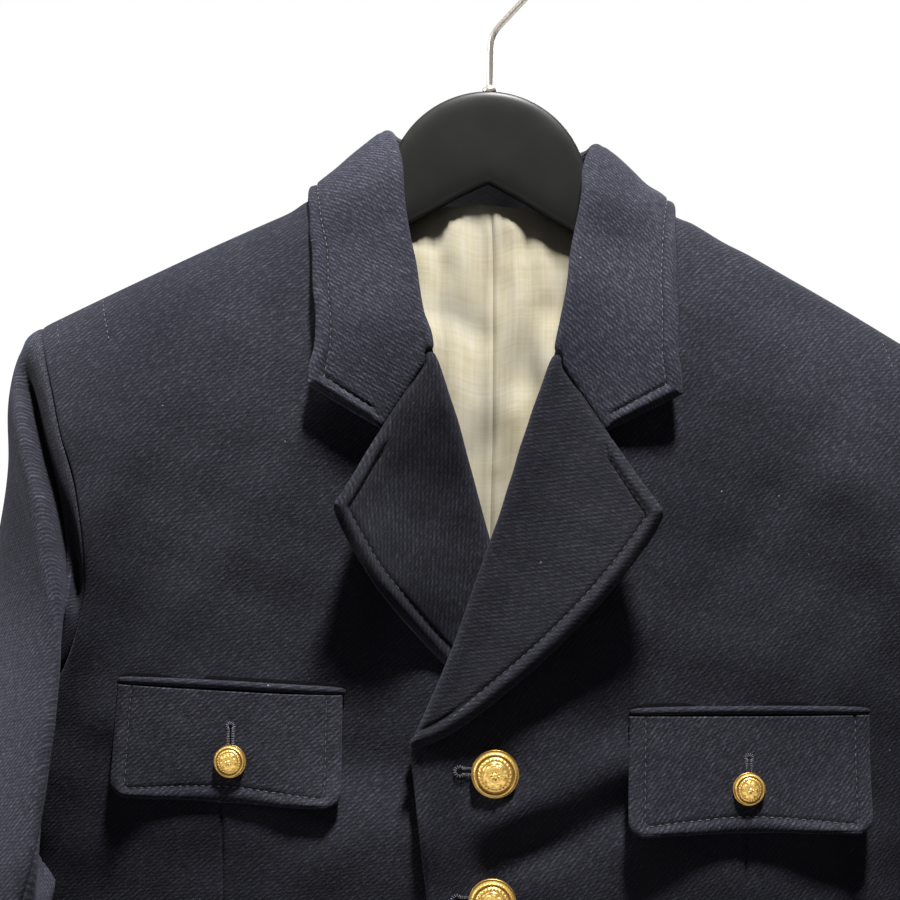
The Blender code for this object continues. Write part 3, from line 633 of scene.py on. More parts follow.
def cloth(name, grid, core, edges, grain, made_of, wall=WALL, rise=0.0, free_top=None, stitch_dip=1.0,
          soft=1.0, mark=0.0, flat=None):
    """A closed wall of cloth on a grid. edges says how each edge is finished: stitched, seam, plain or hidden.
    free_top, where given, is the share of the top edge that is stitched, the rest being a seam."""
    rows, columns = grid.shape[:2]
    normal = normals(grid, core)
    creased = np.zeros((rows, columns)) + rise
    lift, line = finished(grid, edges, creased, free_top, stitch_dip, soft, mark)
    outer = hung(grid + lift[..., None] * normal)
    inner = hung(grid + (creased - wall)[..., None] * normal)
    rim = rim_of(rows, columns)
    middle = ((outer * 0.45 + inner * 0.55) + rim_bulge(grid, edges, wall)).reshape(-1, 3)[rim]
    faces = wall_faces(rows, columns, rim)
    facing = np.cross(grid[1:, :-1] - grid[:-1, :-1], grid[:-1, 1:] - grid[:-1, :-1])
    if (facing * normal[:-1, :-1]).sum() <= 0:
        faces = faces[:, ::-1]
    points = np.concatenate([outer.reshape(-1, 3), inner.reshape(-1, 3), middle])
    piece = mesh_piece(name, points, faces.tolist(), made_of)
    flat = ((flat_map(grid) if flat is None else flat) @ turned(grain) * MM).reshape(-1, 2)
    lay_grain(piece, np.concatenate([flat, flat, flat[rim]]))
    # The seam mark is painted shade: the materials darken the colour by it along seams, stitch lines and the
    # given mark.
    line = line.ravel()
    set_mark(piece, "seam", np.concatenate([line, 0 * line, line[rim]]))
    outer_faces[name] = outer
    return piece


def lay_grain(piece, places):
    """Each point's place on the flat cloth, along and across its ribs, as the piece's UV map."""
    layer = piece.data.uv_layers.new(name="grain")
    corner = np.empty(len(piece.data.loops), int)
    piece.data.loops.foreach_get("vertex_index", corner)
    layer.data.foreach_set("uv", places[corner].astype(np.float32).ravel())


def set_mark(piece, name, shares):
    """A share from 0 to 1 on each point, which a material reads by its name."""
    mark = piece.data.attributes.new(name, "FLOAT", "POINT")
    mark.data.foreach_set("value", shares.clip(0, 1).astype(np.float32))


def mesh_piece(name, points, faces, made_of):
    mesh = bpy.data.meshes.new(name)
    mesh.from_pydata((np.asarray(points) * MM).tolist(), [], faces)
    mesh.shade_smooth()
    mesh.materials.append(made_of)
    piece = bpy.data.objects.new(name, mesh)
    piece.cycles.shadow_terminator_geometry_offset = 0.2
    bpy.context.scene.collection.objects.link(piece)
    return piece


def settle(piece, nodes):
    """The piece rides with the jacket and stands for its solids."""
    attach(piece, "root")
    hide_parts(*nodes)


# ---- materials ----

def linear(colour):
    parts = [int(colour[i:i + 2], 16) / 255 for i in (1, 3, 5)]
    return (*[c / 12.92 if c <= 0.04045 else ((c + 0.055) / 1.055) ** 2.4 for c in parts], 1)


def add(tree, kind, inputs=None, **settings):
    """A node with its settings, and its inputs set or linked."""
    node = tree.nodes.new(kind)
    for key, value in settings.items():
        setattr(node, key, value)
    for key, value in (inputs or {}).items():
        if isinstance(value, bpy.types.NodeSocket):
            tree.links.new(value, node.inputs[key])
        else:
            node.inputs[key].default_value = value
    return node


def new_material(name):
    made = bpy.data.materials.new(name)
    made.use_nodes = True
    return made, made.node_tree, made.node_tree.nodes["Principled BSDF"]


def ramp(tree, value, stops, interpolation="LINEAR"):
    node = add(tree, "ShaderNodeValToRGB", {0: value})
    node.color_ramp.interpolation = interpolation
    while len(node.color_ramp.elements) < len(stops):
        node.color_ramp.elements.new(0.5)
    for element, (at, colour) in zip(node.color_ramp.elements, stops):
        element.position = at
        element.color = linear(colour)
    return node.outputs[0]


def maths(tree, operation, a, b=0.0, c=0.0):
    return add(tree, "ShaderNodeMath", {0: a, 1: b, 2: c}, operation=operation).outputs[0]


def mixed(tree, share, a, b, blend="MIX"):
    node = add(tree, "ShaderNodeMix", {0: share}, data_type="RGBA", blend_type=blend)
    for socket, value in ((node.inputs[6], a), (node.inputs[7], b)):
        if isinstance(value, bpy.types.NodeSocket):
            tree.links.new(value, socket)
        else:
            socket.default_value = value
    return node.outputs[2]


def wool_twill(name, groove, thread, lit_crest):
    """Heavy wool twill, milled and matte: steep ribs of soft, slightly hairy yarn, with painted shade between
    the ribs and painted light on their crests.
    The ribs and the fuzz are drawn a little coarser than real ones, so that they show."""
    made, tree, shader = new_material(name)
    place = add(tree, "ShaderNodeUVMap", uv_map="grain").outputs[0]
    where = add(tree, "ShaderNodeTexCoord").outputs["Object"]
    # The ribs, which wander over a centimetre, and the floats of yarn that cross each of them.
    wander = add(tree, "ShaderNodeTexNoise", {"Vector": place, "Scale": 90.0, "Detail": 2.0}).outputs[0]
    parts = add(tree, "ShaderNodeSeparateXYZ", {0: place})
    drift = maths(tree, "MULTIPLY_ADD", wander, 0.4 * MM, parts.outputs[1])
    phase = maths(tree, "MULTIPLY", drift, 2 * math.pi / (RIB * MM))
    rib = maths(tree, "MULTIPLY_ADD", maths(tree, "SINE", phase), 0.5, 0.5)
    lean = maths(tree, "MULTIPLY_ADD", parts.outputs[0], 2 * math.pi / (1.5 * RIB * MM), phase)
    floats = maths(tree, "MULTIPLY_ADD", maths(tree, "SINE", lean), 0.5, 0.5)
    # Yarn 3.8 mm along a rib and 1.1 mm across it, hairs 0.7 mm apart, and ribs worn flat in patches of 3 mm.
    stretch = add(tree, "ShaderNodeMapping", {"Vector": place, "Scale": (260.0, 900.0, 1.0)}).outputs[0]
    spun = {"Vector": stretch, "Scale": 1.0, "Detail": 3.0, "Roughness": 0.7}
    yarn = add(tree, "ShaderNodeTexNoise", spun).outputs[0]
    hairs = {"Vector": where, "Scale": 1500.0, "Detail": 3.0, "Roughness": 0.75}
    fuzz = add(tree, "ShaderNodeTexNoise", hairs).outputs[0]
    patchy = add(tree, "ShaderNodeTexNoise", {"Vector": place, "Scale": 330.0, "Detail": 2.0}).outputs[0]
    rib = maths(tree, "MULTIPLY", rib, maths(tree, "MULTIPLY_ADD", patchy, 2.4, -0.35))
    weave = maths(tree, "MULTIPLY_ADD", floats, 0.10, maths(tree, "MULTIPLY", rib, 0.21))
    height = maths(tree, "MULTIPLY_ADD", yarn, 0.75, weave)
    level = maths(tree, "MULTIPLY_ADD", fuzz, 0.85, height)
    # The colour follows the relief's height: painted shade in the grooves and painted light on the crests,
    # besides the yarn's own uneven colour.
    colour = ramp(tree, maths(tree, "MULTIPLY", level, 0.6), ((0.33, groove), (0.57, thread), (0.81, lit_crest)))
    # Its dye is uneven over 70 mm, and its seams, stitch lines and deep folds get painted shade.
    dye = {"Vector": where, "Scale": 14.0, "Detail": 3.0, "Roughness": 0.6}
    broad = add(tree, "ShaderNodeTexNoise", dye).outputs[0]
    tone = ramp(tree, broad, ((0.34, "#c9cad2"), (0.68, "#ffffff")))
    colour = mixed(tree, 1.0, colour, tone, "MULTIPLY")
    seam = add(tree, "ShaderNodeAttribute", attribute_name="seam").outputs["Fac"]
    colour = mixed(tree, maths(tree, "MULTIPLY", seam, 0.6), colour, linear("#0a0a0d"))
    # A pale speck of lint on one cell in three of 13 mm.
    specks = add(tree, "ShaderNodeTexVoronoi", {"Vector": where, "Scale": 75.0, "Randomness": 1.0})
    tiny = maths(tree, "LESS_THAN", specks.outputs["Distance"], 0.028)
    chance = add(tree, "ShaderNodeSeparateXYZ", {0: specks.outputs["Color"]}).outputs[0]
    lint = maths(tree, "MULTIPLY", tiny, maths(tree, "GREATER_THAN", chance, 0.66))
    colour = mixed(tree, maths(tree, "MULTIPLY", lint, 0.45), colour, linear("#8d8f98"))
    tree.links.new(colour, shader.inputs["Base Color"])
    shader.inputs["Roughness"].default_value = 0.93
    shader.inputs["Specular IOR Level"].default_value = 0.12
    shader.inputs["Sheen Weight"].default_value = 0.06
    shader.inputs["Sheen Roughness"].default_value = 0.5
    shader.inputs["Sheen Tint"].default_value = linear("#9b99b0")
    relief = add(tree, "ShaderNodeBump", {"Height": level, "Strength": 0.55, "Distance": 0.45 * MM})
    tree.links.new(relief.outputs[0], shader.inputs["Normal"])
    return made


def slub_lining():
    """Cream rayon lining with slubs: long thick threads both ways, a soft gloss and a few pressed creases."""
    made, tree, shader = new_material("cream_slub_rayon")
    place = add(tree, "ShaderNodeUVMap", uv_map="grain").outputs[0]
    streaks = []
    # Slubs 38 mm long and 1.6 mm wide one way, and 55 mm by 1.4 mm the other.
    for scale in ((26.0, 620.0, 1.0), (700.0, 18.0, 1.0)):
        stretched = add(tree, "ShaderNodeMapping", {"Vector": place, "Scale": scale}).outputs[0]
        spun = {"Vector": stretched, "Scale": 1.0, "Detail": 3.0, "Roughness": 0.62}
        streaks.append(add(tree, "ShaderNodeTexNoise", spun).outputs[0])
    slubs = maths(tree, "MULTIPLY_ADD", streaks[0], 0.55, maths(tree, "MULTIPLY", streaks[1], 0.45))
    cloudy = {"Vector": place, "Scale": 32.0, "Detail": 4.0, "Roughness": 0.6}
    mottle = add(tree, "ShaderNodeTexNoise", cloudy).outputs[0]
    level = maths(tree, "MULTIPLY_ADD", mottle, 0.6, maths(tree, "MULTIPLY", slubs, 0.5))
    colour = ramp(tree, level, ((0.36, "#a2977a"), (0.52, "#b5ac93"), (0.70, "#c3bdab")))
    # The seam mark darkens the colour as painted shade along the centre seam.
    seam = add(tree, "ShaderNodeAttribute", attribute_name="seam").outputs["Fac"]
    colour = mixed(tree, maths(tree, "MULTIPLY", seam, 0.5), colour, linear("#7d7152"))
    tree.links.new(colour, shader.inputs["Base Color"])
    shader.inputs["Roughness"].default_value = 0.58
    shader.inputs["Specular IOR Level"].default_value = 0.4
    shader.inputs["Sheen Weight"].default_value = 0.12
    relief = add(tree, "ShaderNodeBump", {"Height": level, "Strength": 0.35, "Distance": 0.3 * MM})
    tree.links.new(relief.outputs[0], shader.inputs["Normal"])
    return made


def gilt():
    """Gilt brass, struck and polished: bright on what stands up, darker and browner in the hollows and on the
    back.
    """
    made, tree, shader = new_material("gilt_struck_brass")
    where = add(tree, "ShaderNodeTexCoord").outputs["Object"]
    low = add(tree, "ShaderNodeAttribute", attribute_name="recess").outputs["Fac"]
    # An uneven noise that varies how dark the hollows are made and how rough the gilt is.
    blotches = add(tree, "ShaderNodeTexNoise", {"Vector": where, "Scale": 900.0, "Detail": 3.0}).outputs[0]
    share = maths(tree, "MULTIPLY", low, maths(tree, "MULTIPLY_ADD", blotches, 0.6, 0.55))
    colour = mixed(tree, share, linear("#dfba69"), linear("#8f692f"))
    tree.links.new(colour, shader.inputs["Base Color"])
    shader.inputs["Metallic"].default_value = 0.7
    rough = maths(tree, "MULTIPLY_ADD", blotches, 0.2, 0.28)
    tree.links.new(rough, shader.inputs["Roughness"])
    return made


def moulded_plastic():
    """Black-grey polystyrene, moulded with a fine satin grain that greys its highlights."""
    made, tree, shader = new_material("charcoal_moulded_plastic")
    where = add(tree, "ShaderNodeTexCoord").outputs["Object"]
    grain = add(tree, "ShaderNodeTexNoise", {"Vector": where, "Scale": 1800.0, "Detail": 2.0}).outputs[0]
    rubbed = add(tree, "ShaderNodeTexNoise", {"Vector": where, "Scale": 30.0, "Detail": 4.0}).outputs[0]
    tree.links.new(ramp(tree, rubbed, ((0.35, "#191918"), (0.7, "#20201f"))), shader.inputs["Base Color"])
    shader.inputs["Specular IOR Level"].default_value = 0.25
    tree.links.new(maths(tree, "MULTIPLY_ADD", rubbed, 0.16, 0.38), shader.inputs["Roughness"])
    relief = add(tree, "ShaderNodeBump", {"Height": grain, "Strength": 0.25, "Distance": 0.1 * MM})
    tree.links.new(relief.outputs[0], shader.inputs["Normal"])
    return made


def nickel_wire():
    """Nickel-plated steel wire, drawn: bright, with faint lines along it."""
    made, tree, shader = new_material("nickel_plated_wire")
    where = add(tree, "ShaderNodeTexCoord").outputs["Object"]
    drawn = add(tree, "ShaderNodeMapping", {"Vector": where, "Scale": (2500.0, 2500.0, 60.0)}).outputs[0]
    lines = add(tree, "ShaderNodeTexNoise", {"Vector": drawn, "Scale": 1.0, "Detail": 2.0}).outputs[0]
    tree.links.new(ramp(tree, lines, ((0.3, "#aca294"), (0.7, "#dcd5ca"))), shader.inputs["Base Color"])
    tree.links.new(maths(tree, "MULTIPLY_ADD", lines, 0.2, 0.25), shader.inputs["Roughness"])
    shader.inputs["Metallic"].default_value = 0.8
    return made


def sewing_thread(name, dark, light):
    """Spun thread: a tight twist that catches light on each ply."""
    made, tree, shader = new_material(name)
    where = add(tree, "ShaderNodeTexCoord").outputs["Object"]
    plies = add(tree, "ShaderNodeTexNoise", {"Vector": where, "Scale": 2600.0, "Detail": 2.0}).outputs[0]
    tree.links.new(ramp(tree, plies, ((0.3, dark), (0.7, light))), shader.inputs["Base Color"])
    shader.inputs["Roughness"].default_value = 0.6
    shader.inputs["Sheen Weight"].default_value = 0.3
    relief = add(tree, "ShaderNodeBump", {"Height": plies, "Strength": 0.5, "Distance": 0.15 * MM})
    tree.links.new(relief.outputs[0], shader.inputs["Normal"])
    return made


def matt_paint(name, low, high):
    """Matt paint, rolled: an even pale surface with a faint stipple."""
    made, tree, shader = new_material(name)
    where = add(tree, "ShaderNodeTexCoord").outputs["Object"]
    stipple = add(tree, "ShaderNodeTexNoise", {"Vector": where, "Scale": 60.0, "Detail": 3.0}).outputs[0]
    tree.links.new(ramp(tree, stipple, ((0.3, low), (0.7, high))), shader.inputs["Base Color"])
    shader.inputs["Roughness"].default_value = 0.85
    return made


# The colours of each wool's grooves, of its thread and of its crests, whose lightness is partly painted light.
# The flap, sleeve and collar wools are lighter copies, painted light, and the lapels' face, which turns from
# the light, is a darker copy, painted shade.
WOOL = wool_twill("navy_wool_twill_cloth", "#0a0a0d", "#202026", "#444450")
LINED = slub_lining()
GILT = gilt()
PLASTIC = moulded_plastic()
NICKEL = nickel_wire()
NAVY_THREAD = sewing_thread("navy_polyester_thread", "#17171c", "#3a3a45")
GREY_TWIST = sewing_thread("grey_buttonhole_twist", "#2c2c33", "#62626c")
FLAP_WOOL = wool_twill("navy_wool_twill_flap_painted_lighter", "#0d0d11", "#29292f", "#565663")
SLEEVE_WOOL = wool_twill("navy_wool_twill_sleeve_painted_lighter", "#0d0d11", "#29292f", "#545461")
LAPEL_WOOL = wool_twill("navy_wool_twill_lapel_painted_darker", "#08080a", "#1b1b20", "#3a3a44")
COLLAR_WOOL = wool_twill("navy_wool_twill_collar_painted_lighter", "#0c0c10", "#27272e", "#535360")
# Near-black wool, painted deep shade: for the collar stand behind the hanger, the pocket mouths and the
# buttonhole slits.
SHADE = wool_twill("navy_wool_in_deep_shade", "#020203", "#050507", "#0a0a0d")


# ---- the body ----

WAVES = ((0.021, 0.012), (-0.033, 0.019), (0.052, -0.037), (0.017, 0.061))   # how each runs across and up
WAVE_PACE = 6.28 / 1.9


def waves(x, z, seed):
    """The slight unevenness of hung cloth: a few long waves that cross."""
    total = 0.0
    for k, (run_x, run_z) in enumerate(WAVES):
        total = total + 0.34 / (1 + 0.4 * k) * np.sin(WAVE_PACE * (run_x * x + run_z * z) + seed + 2.1 * k)
    return total


def dart_x(side, z):
    """Where the dart under a chest pocket lies at a height."""
    out, height, lean = DART
    return side * (out + lean * (z - height))


def front_detail(side, x, z):
    """What stands off the front's form: creases, the dart, the lift of its edge between buttons."""
    rise = fold_rise(side, x, z, CREASES) + waves(x, z, 1.0 + side)
    dart = bump(x - dart_x(side, z), 0.7) * between(z, -405, -419) * between(z, -560, -530)
    rise = rise - DART_DEEP * dart
    if side > 0:
        turn = (z - FIRST_BUTTON[1]) / BUTTON_SPACING * math.pi
        apart = np.sin(turn) ** 2 * between(z, -396, -410) * between(z, -640, -610)
        rise = rise + EDGE_LIFT * apart * bump(x - EDGE_X, 15)
        for number in range(BUTTON_COUNT):
            z_at = FIRST_BUTTON[1] - number * BUTTON_SPACING
            rise = rise - BUTTON_DENT * bump(np.hypot(x - FIRST_BUTTON[0], z - z_at), 13)
    return rise * between(shoulder(x) - z, 3, 33)


def outline(rows, t, front):
    """Inner and outer edge points of a panel at row t of its table, and then of the rows down to the hem."""
    share, edge_below = (SIDE_FRONT, EDGE_BELOW) if front else (SIDE_BACK, np.zeros(len(BELOW)))
    side_below = share * body_at("half", np.array(BELOW))
    at = np.arange(len(rows["x_in"]) + len(BELOW))
    columns = {"x_in": edge_below, "z_in": BELOW, "x_out": side_below, "z_out": BELOW}
    whole = {name: np.append(rows[name], below) for name, below in columns.items()}
    inner = [np.interp(t, at, whole[name]) for name in ("x_in", "z_in")]
    outer = [smooth(t, at, whole[name]) for name in ("x_out", "z_out")]
    return inner, outer


def panel(side, rows, front):
    """A front or a back, as an even grid from its shoulder to its hem."""
    t = np.linspace(0, len(rows["x_in"]) + len(BELOW) - 1, 330)
    (x_in, z_in), (x_out, z_out) = outline(rows, t, front)
    share = np.linspace(0, 1, 110) ** 0.96
    x = side * (x_in[:, None] + (x_out - x_in)[:, None] * share)
    z = z_in[:, None] + (z_out - z_in)[:, None] * share
    y = front_y(side, x, z) if front else back_y(x, z)
    return np.stack([x, y, z], axis=2)


def trimmed(grid, start, end):
    """The grid with each row shortened by these amounts at its start and end."""
    run = lengths(grid, 1)
    made = []
    for line, at, a, b in zip(grid, run, np.broadcast_to(start, len(grid)), np.broadcast_to(end, len(grid))):
        spots = np.linspace(a, at[-1] - b, len(line))
        made.append(np.stack([smooth(spots, at, line[:, k]) for k in range(3)], axis=1))
    return np.array(made)


def front_cloth(side, hand):
    """A front, cut back where the lapel's roll starts, with a dart under its pocket and a plain edge below."""
    grid = panel(side, FRONT, True)
    z_in = grid[:, 0, 2]
    rolled_here = between(z_in, -200, -210) * between(z_in, -389, -383)
    grid = trimmed(grid, 0.1 + (ROLL + 0.8) * rolled_here, 0.1)
    at_dart = []
    for line, run in zip(grid, lengths(grid, 1)):
        at_dart.append(np.interp(abs(dart_x(side, line[60, 2])), side * line[:, 0], run))
    grid = respaced(grid, 1, STITCHED, SEAMED, beside=np.array(at_dart))
    grid = respaced(grid, 0, SEAMED, OPEN)
    rise = front_detail(side, grid[..., 0], grid[..., 2])
    away = lengths(grid, 1)
    edge = plain_shape(away) + 0.25 * bump(away - 2.6, 1.6) - 0.3 * bump(away - 4.5, 0.7)
    rise = rise + between(grid[:, :1, 2], -386, -398) * edge
    edges = ("seam", "plain", "hidden", "seam")
    return cloth(f"wool_front_{hand}", grid, CORE, edges, GRAIN["front", side], WOOL, rise=rise, soft=0.6)


def back_cloth(side, hand):
    """Half of the back, plain, with a seam at its centre."""
    grid = trimmed(panel(side, BACK, False), 0.12, 0.1)
    grid = respaced(respaced(grid, 1, SEAMED, SEAMED, BODY_GRID), 0, SEAMED, OPEN, BODY_GRID)
    x, z = grid[..., 0], grid[..., 2]
    rise = waves(x, z, 4.0) * 1.2 * between(shoulder(x) - z, 0, 40)
    edges = ("seam", "plain", "seam", "seam")
    return cloth(f"wool_back_{hand}", grid, CORE, edges, GRAIN["back", side], WOOL, rise=rise)


def side_ring(z, share):
    """The side of the body at a height, from the front panel's seam to the back's."""
    front_turn = math.acos(SIDE_FRONT ** (FRONT_POWER / 2))
    back_turn = math.acos(SIDE_BACK ** (BACK_POWER / 2))
    turn = -front_turn + (front_turn + back_turn) * share
    power = np.where(turn < 0, FRONT_POWER, BACK_POWER)
    depth = np.where(turn < 0, body_at("front", z), body_at("back", z))
    x = body_at("half", z) * np.cos(turn) ** (2 / power)
    y = body_at("side", z) + depth * np.sign(turn) * np.abs(np.sin(turn)) ** (2 / power)
    return x, y


def armhole_low(share):
    """The height of the armhole's foot, from the front panel's seam to the back's."""
    start, end = FRONT["z_out"][-1], BACK["z_out"][-1]
    return start + (end - start) * share - ARMHOLE_SCOOP * np.sin(math.pi * share)


def side_cloth(side, hand):
    """A side panel, from the armhole's foot to the hem."""
    share = np.linspace(0, 1, 60)
    top = armhole_low(share) - 1.4
    grid = []
    for down in np.linspace(0, 1, 160):
        z = top + (BELOW[-1] - top) * down
        x, y = side_ring(z, share)
        grid.append(np.stack([side * x, y, z], axis=1))
    grid = trimmed(np.array(grid), 0.3, 0.3)
    grid = respaced(respaced(grid, 1, SEAMED, SEAMED, BODY_GRID), 0, SEAMED, OPEN, BODY_GRID)
    edges = ("seam", "plain", "seam", "seam")
    return cloth(f"wool_side_{hand}", grid, CORE, edges, GRAIN["side", side], WOOL)


# ---- the sleeves ----

def armhole(side):
    """Each point's turn round the sleeve, and the armhole's loop of points. Its foot is at half a turn."""
    t = np.linspace(0, len(FRONT["x_out"]) - 1, 90)
    _, (x, z) = outline(FRONT, t, True)
    front = np.stack([side * x, front_y(side, side * x, z), z], axis=1)
    share = np.linspace(0, 1, 60)[1:-1]
    z = armhole_low(share)
    x, y = side_ring(z, share)
    low = np.stack([side * x, y, z], axis=1)
    _, (x, z) = outline(BACK, t[::-1], False)
    back = np.stack([side * x, back_y(side * x, z), z], axis=1)
    loop = np.concatenate([front, low, back])
    lowest = len(front) + int(3.5 / 8 * 60)
    run = np.concatenate([[0], np.cumsum(np.linalg.norm(np.diff(loop, axis=0), axis=1))])
    return np.interp(run, [0, run[lowest], run[-1]], [0, math.pi, 2 * math.pi]), loop


def clear_of_body(points, side, share):
    """The points of a sleeve's ring, moved out of the body but for what the sleeve presses into it."""
    x, y, z = points.T
    middle = body_at("side", z)
    front = y < middle
    power = np.where(front, FRONT_POWER, BACK_POWER)
    deep = np.where(front, body_at("front", z), body_at("back", z)) + OFF_BODY + fold_rise(side, x, z).clip(0)
    wide = body_at("half", z) + OFF_BODY - PRESSED
    size = (np.abs(x) / wide) ** power + (np.abs(y - middle) / deep) ** power
    grow = np.where(size < 1, size ** (-1 / power), 1)
    grow = 1 + (grow - 1) * between(z, -345, -385) * between(share, 0, 0.12)
    return np.stack([x * grow, middle + (y - middle) * grow, z], axis=1)


# One row per crease round a sleeve: its turn, where it is down the sleeve, its length round and down, how it
# slants and how high it stands.
SLEEVE_CREASES = table(
    "turn z round down slant rise",
    (0.9, -430, 0.9, 16, 30, -2.4),
    (1.3, -465, 0.8, 15, 26, 1.8),
    (2.2, -520, 0.8, 14, -20, -2.2),
    (1.7, -560, 1.0, 17, 24, 1.8),
    (1.1, -612, 0.9, 16, 18, -1.8),
    (2.4, -640, 0.7, 18, -16, 1.6),
    (4.3, -500, 1.0, 20, 22, -1.8),
    (4.8, -570, 1.0, 20, -24, 1.8),
    (4.1, -650, 0.9, 18, 20, -1.6),
)


# The deep fold beside the sleeve head, in front: the points it runs through.
DEEP_FOLD = table(
    "x z",
    (226, -222),
    (216, -245),
    (208.5, -272),
    (203.5, -284.5),
    (196, -310),
    (190, -335),
)
FOLD_SLANT = 0.85   # a step across is this much of a step square to the fold
# How wide it is, away from the body and towards it, and how deep. The other sleeve has a softer one.
DEEP_FOLD_SIZE = {-1: (3.0, 7.5, 9.0), 1: (6.0, 8.0, 5.0)}


def beside_fold(x, z):
    """How far each point lies from the deep fold, towards the body."""
    return FOLD_SLANT * (np.interp(-z, -DEEP_FOLD["z"], DEEP_FOLD["x"]) - x)


SLEEVE_HEAD_ROWS = 6   # the rings of the sleeve's table down to the foot of the armhole


def sleeve_grid(side, turns):
    """A sleeve between two of its seams, from the armhole down to its open cuff."""
    loop_turn, loop = armhole(side)
    turns = np.asarray(turns, float) % (2 * math.pi)
    cos, sin = np.cos(turns), np.sin(turns)
    start = np.stack([np.interp(turns, loop_turn, loop[:, k]) for k in range(3)], axis=1)
    in_front = between(turns, 0, 0.6) * between(turns, 2.0, 1.4)
    last = len(SLEEVE["z_out"]) - 1
    at = np.arange(last + 1)
    grid = []
    head_rings = np.linspace(0, SLEEVE_HEAD_ROWS, 90)
    for t in np.concatenate([head_rings, np.linspace(SLEEVE_HEAD_ROWS, last, 150)[1:]]):
        row = (float(smooth(t, at, column)) for column in SLEEVE.values())
        x_out, z_out, x_in, z_in, y, depth, swing, bow, share = row
        share = min(max(share, 0.0), 1.0)
        x = (x_out + x_in) / 2 + (x_out - x_in) / 2 * cos + bow * sin**2
        z = (z_out + z_in) / 2 + (z_out - z_in) / 2 * cos
        ring = np.stack([side * x, y - depth * sin + swing * cos, z], axis=1)
        ring = start + (ring - start) * share
        ring[:, 1] += HEAD_CREASE * bump(share - 0.36, 0.14) * in_front
        bulge = bump(share - 0.2, 0.12) * between(share, 0, 0.08)
        ring[:, 0] += HEAD_ROLL[0] * side * bulge
        ring[:, 1] -= HEAD_ROLL[1] * bulge * in_front
        ring[:, 2] -= HEAD_ROLL[2] * bulge * cos.clip(0)
        grid.append(clear_of_body(ring, side, share))
    return np.array(grid)


def tube_map(grid, in_front):
    """Each point's place on the flat cloth of an upright tube, measured round it from where it faces ahead."""
    x, y, z = grid[..., 0], grid[..., 1], grid[..., 2]
    facing = int(np.argmin(y.mean(axis=0) * (1 if in_front else -1)).clip(1, grid.shape[1] - 2))
    rightwards = np.sign((x[:, facing + 1] - x[:, facing - 1]).sum())
    step = np.hypot(np.diff(x, axis=1), np.diff(y, axis=1)) * rightwards
    round_it = np.concatenate([np.zeros((len(grid), 1)), np.cumsum(step, axis=1)], axis=1)
    return np.stack([round_it - round_it[:, facing, None] + x[:, facing, None], z], axis=-1)


def sleeve_creases(side, x, y, z):
    """How high the sleeve's small creases stand. They fade out towards its head."""
    turn = np.arctan2(-(y + 12), x - 255) % (2 * math.pi)
    rise = 0.7 * waves(turn * 60, z, 2.0 + side)
    for at, z_at, around, down, slant, height in zip(*SLEEVE_CREASES.values()):
        off = (turn - at + math.pi) % (2 * math.pi) - math.pi
        rise = rise + height * bump(off, around) * bump(z - z_at - slant * off, down)
    return rise * between(z, -300, -390)


def sleeve_piece(side, hand, part, turns):
    """The top or the under piece of a sleeve, with the deep fold pressed straight back into it."""
    grid = trimmed(sleeve_grid(side, turns), 0.25, 0.25)
    grid = respaced(respaced(grid, 1, SEAMED, SEAMED, SLEEVE_GRID[0]), 0, SEAMED, OPEN, SLEEVE_GRID[1])
    x, y, z = grid[..., 0] * side, grid[..., 1], grid[..., 2]
    rise = sleeve_creases(side, x, y, z)
    off = beside_fold(x, z)
    ahead = between(y, -8, -24) * between(z, -345, -320) * between(z, -205, -225)
    outer_wide, inner_wide, deep = DEEP_FOLD_SIZE[side]
    pressed = deep * bump(off, np.where(off < 0, outer_wide, inner_wide)) - 2.0 * bump(off + 8, 4)
    grid[..., 1] += pressed * ahead * between(lengths(grid, 0), 0, 6)
    # Painted shade in the deep fold, carried by the seam mark.
    shade = 1.4 * bump(off - 2, 4.5) * ahead
    edges = ("seam", "plain", "seam", "seam")
    piece = cloth(f"wool_sleeve_{part}_{hand}", grid, (side * 262, -15, -560), edges, GRAIN["sleeve", side],
                  SLEEVE_WOOL, rise=rise, soft=0.6, mark=shade, flat=tube_map(grid, part == "top"))
    settle(piece, [f"sleeve_{part}_{hand}"])


def sleeve_cloth(side, hand):
    """The top and under pieces of a sleeve, cut from one closed tube."""
    sleeve_piece(side, hand, "top", np.linspace(BACK_SEAM, FRONT_SEAM, 90))
    sleeve_piece(side, hand, "under", np.linspace(FRONT_SEAM, BACK_SEAM + 2 * math.pi, 60))


# ---- the lapels and the collar ----

ROLL_POINTS = 19
RETURN_SHARES = (1.0, 0.66, 0.33, 0.12)
ROLL_TOP = len(RETURN_SHARES) + ROLL_POINTS - 1   # the point of a row that is at the top of its roll


def rolled(fold, way, out, radius, squeeze=1.0):
    """The points of a rolled fold, from the end of its return round to the top of the roll."""
    sunk = WALL / 2
    points = [fold + way * RETURN * squeeze * s - out * (radius + sunk) for s in RETURN_SHARES]
    for angle in np.radians(np.linspace(270, 90, ROLL_POINTS)):
        along = squeeze * radius * (1 + math.cos(angle))
        points.append(fold + way * along + out * (radius * math.sin(angle) - sunk))
    return points


def between_rows(rows, count):
    """Sections put between the given ones on smooth curves."""
    rows = np.array(rows)
    at = np.arange(len(rows))
    fine = np.linspace(0, len(rows) - 1, count)
    flat = rows.reshape(len(rows), -1)
    return np.stack([smooth(fine, at, column) for column in flat.T], axis=1).reshape(count, *rows.shape[1:])


LAPEL_SHARES = np.linspace(0, 1, 30)[1:]   # points from the roll to the free edge, as shares of the way


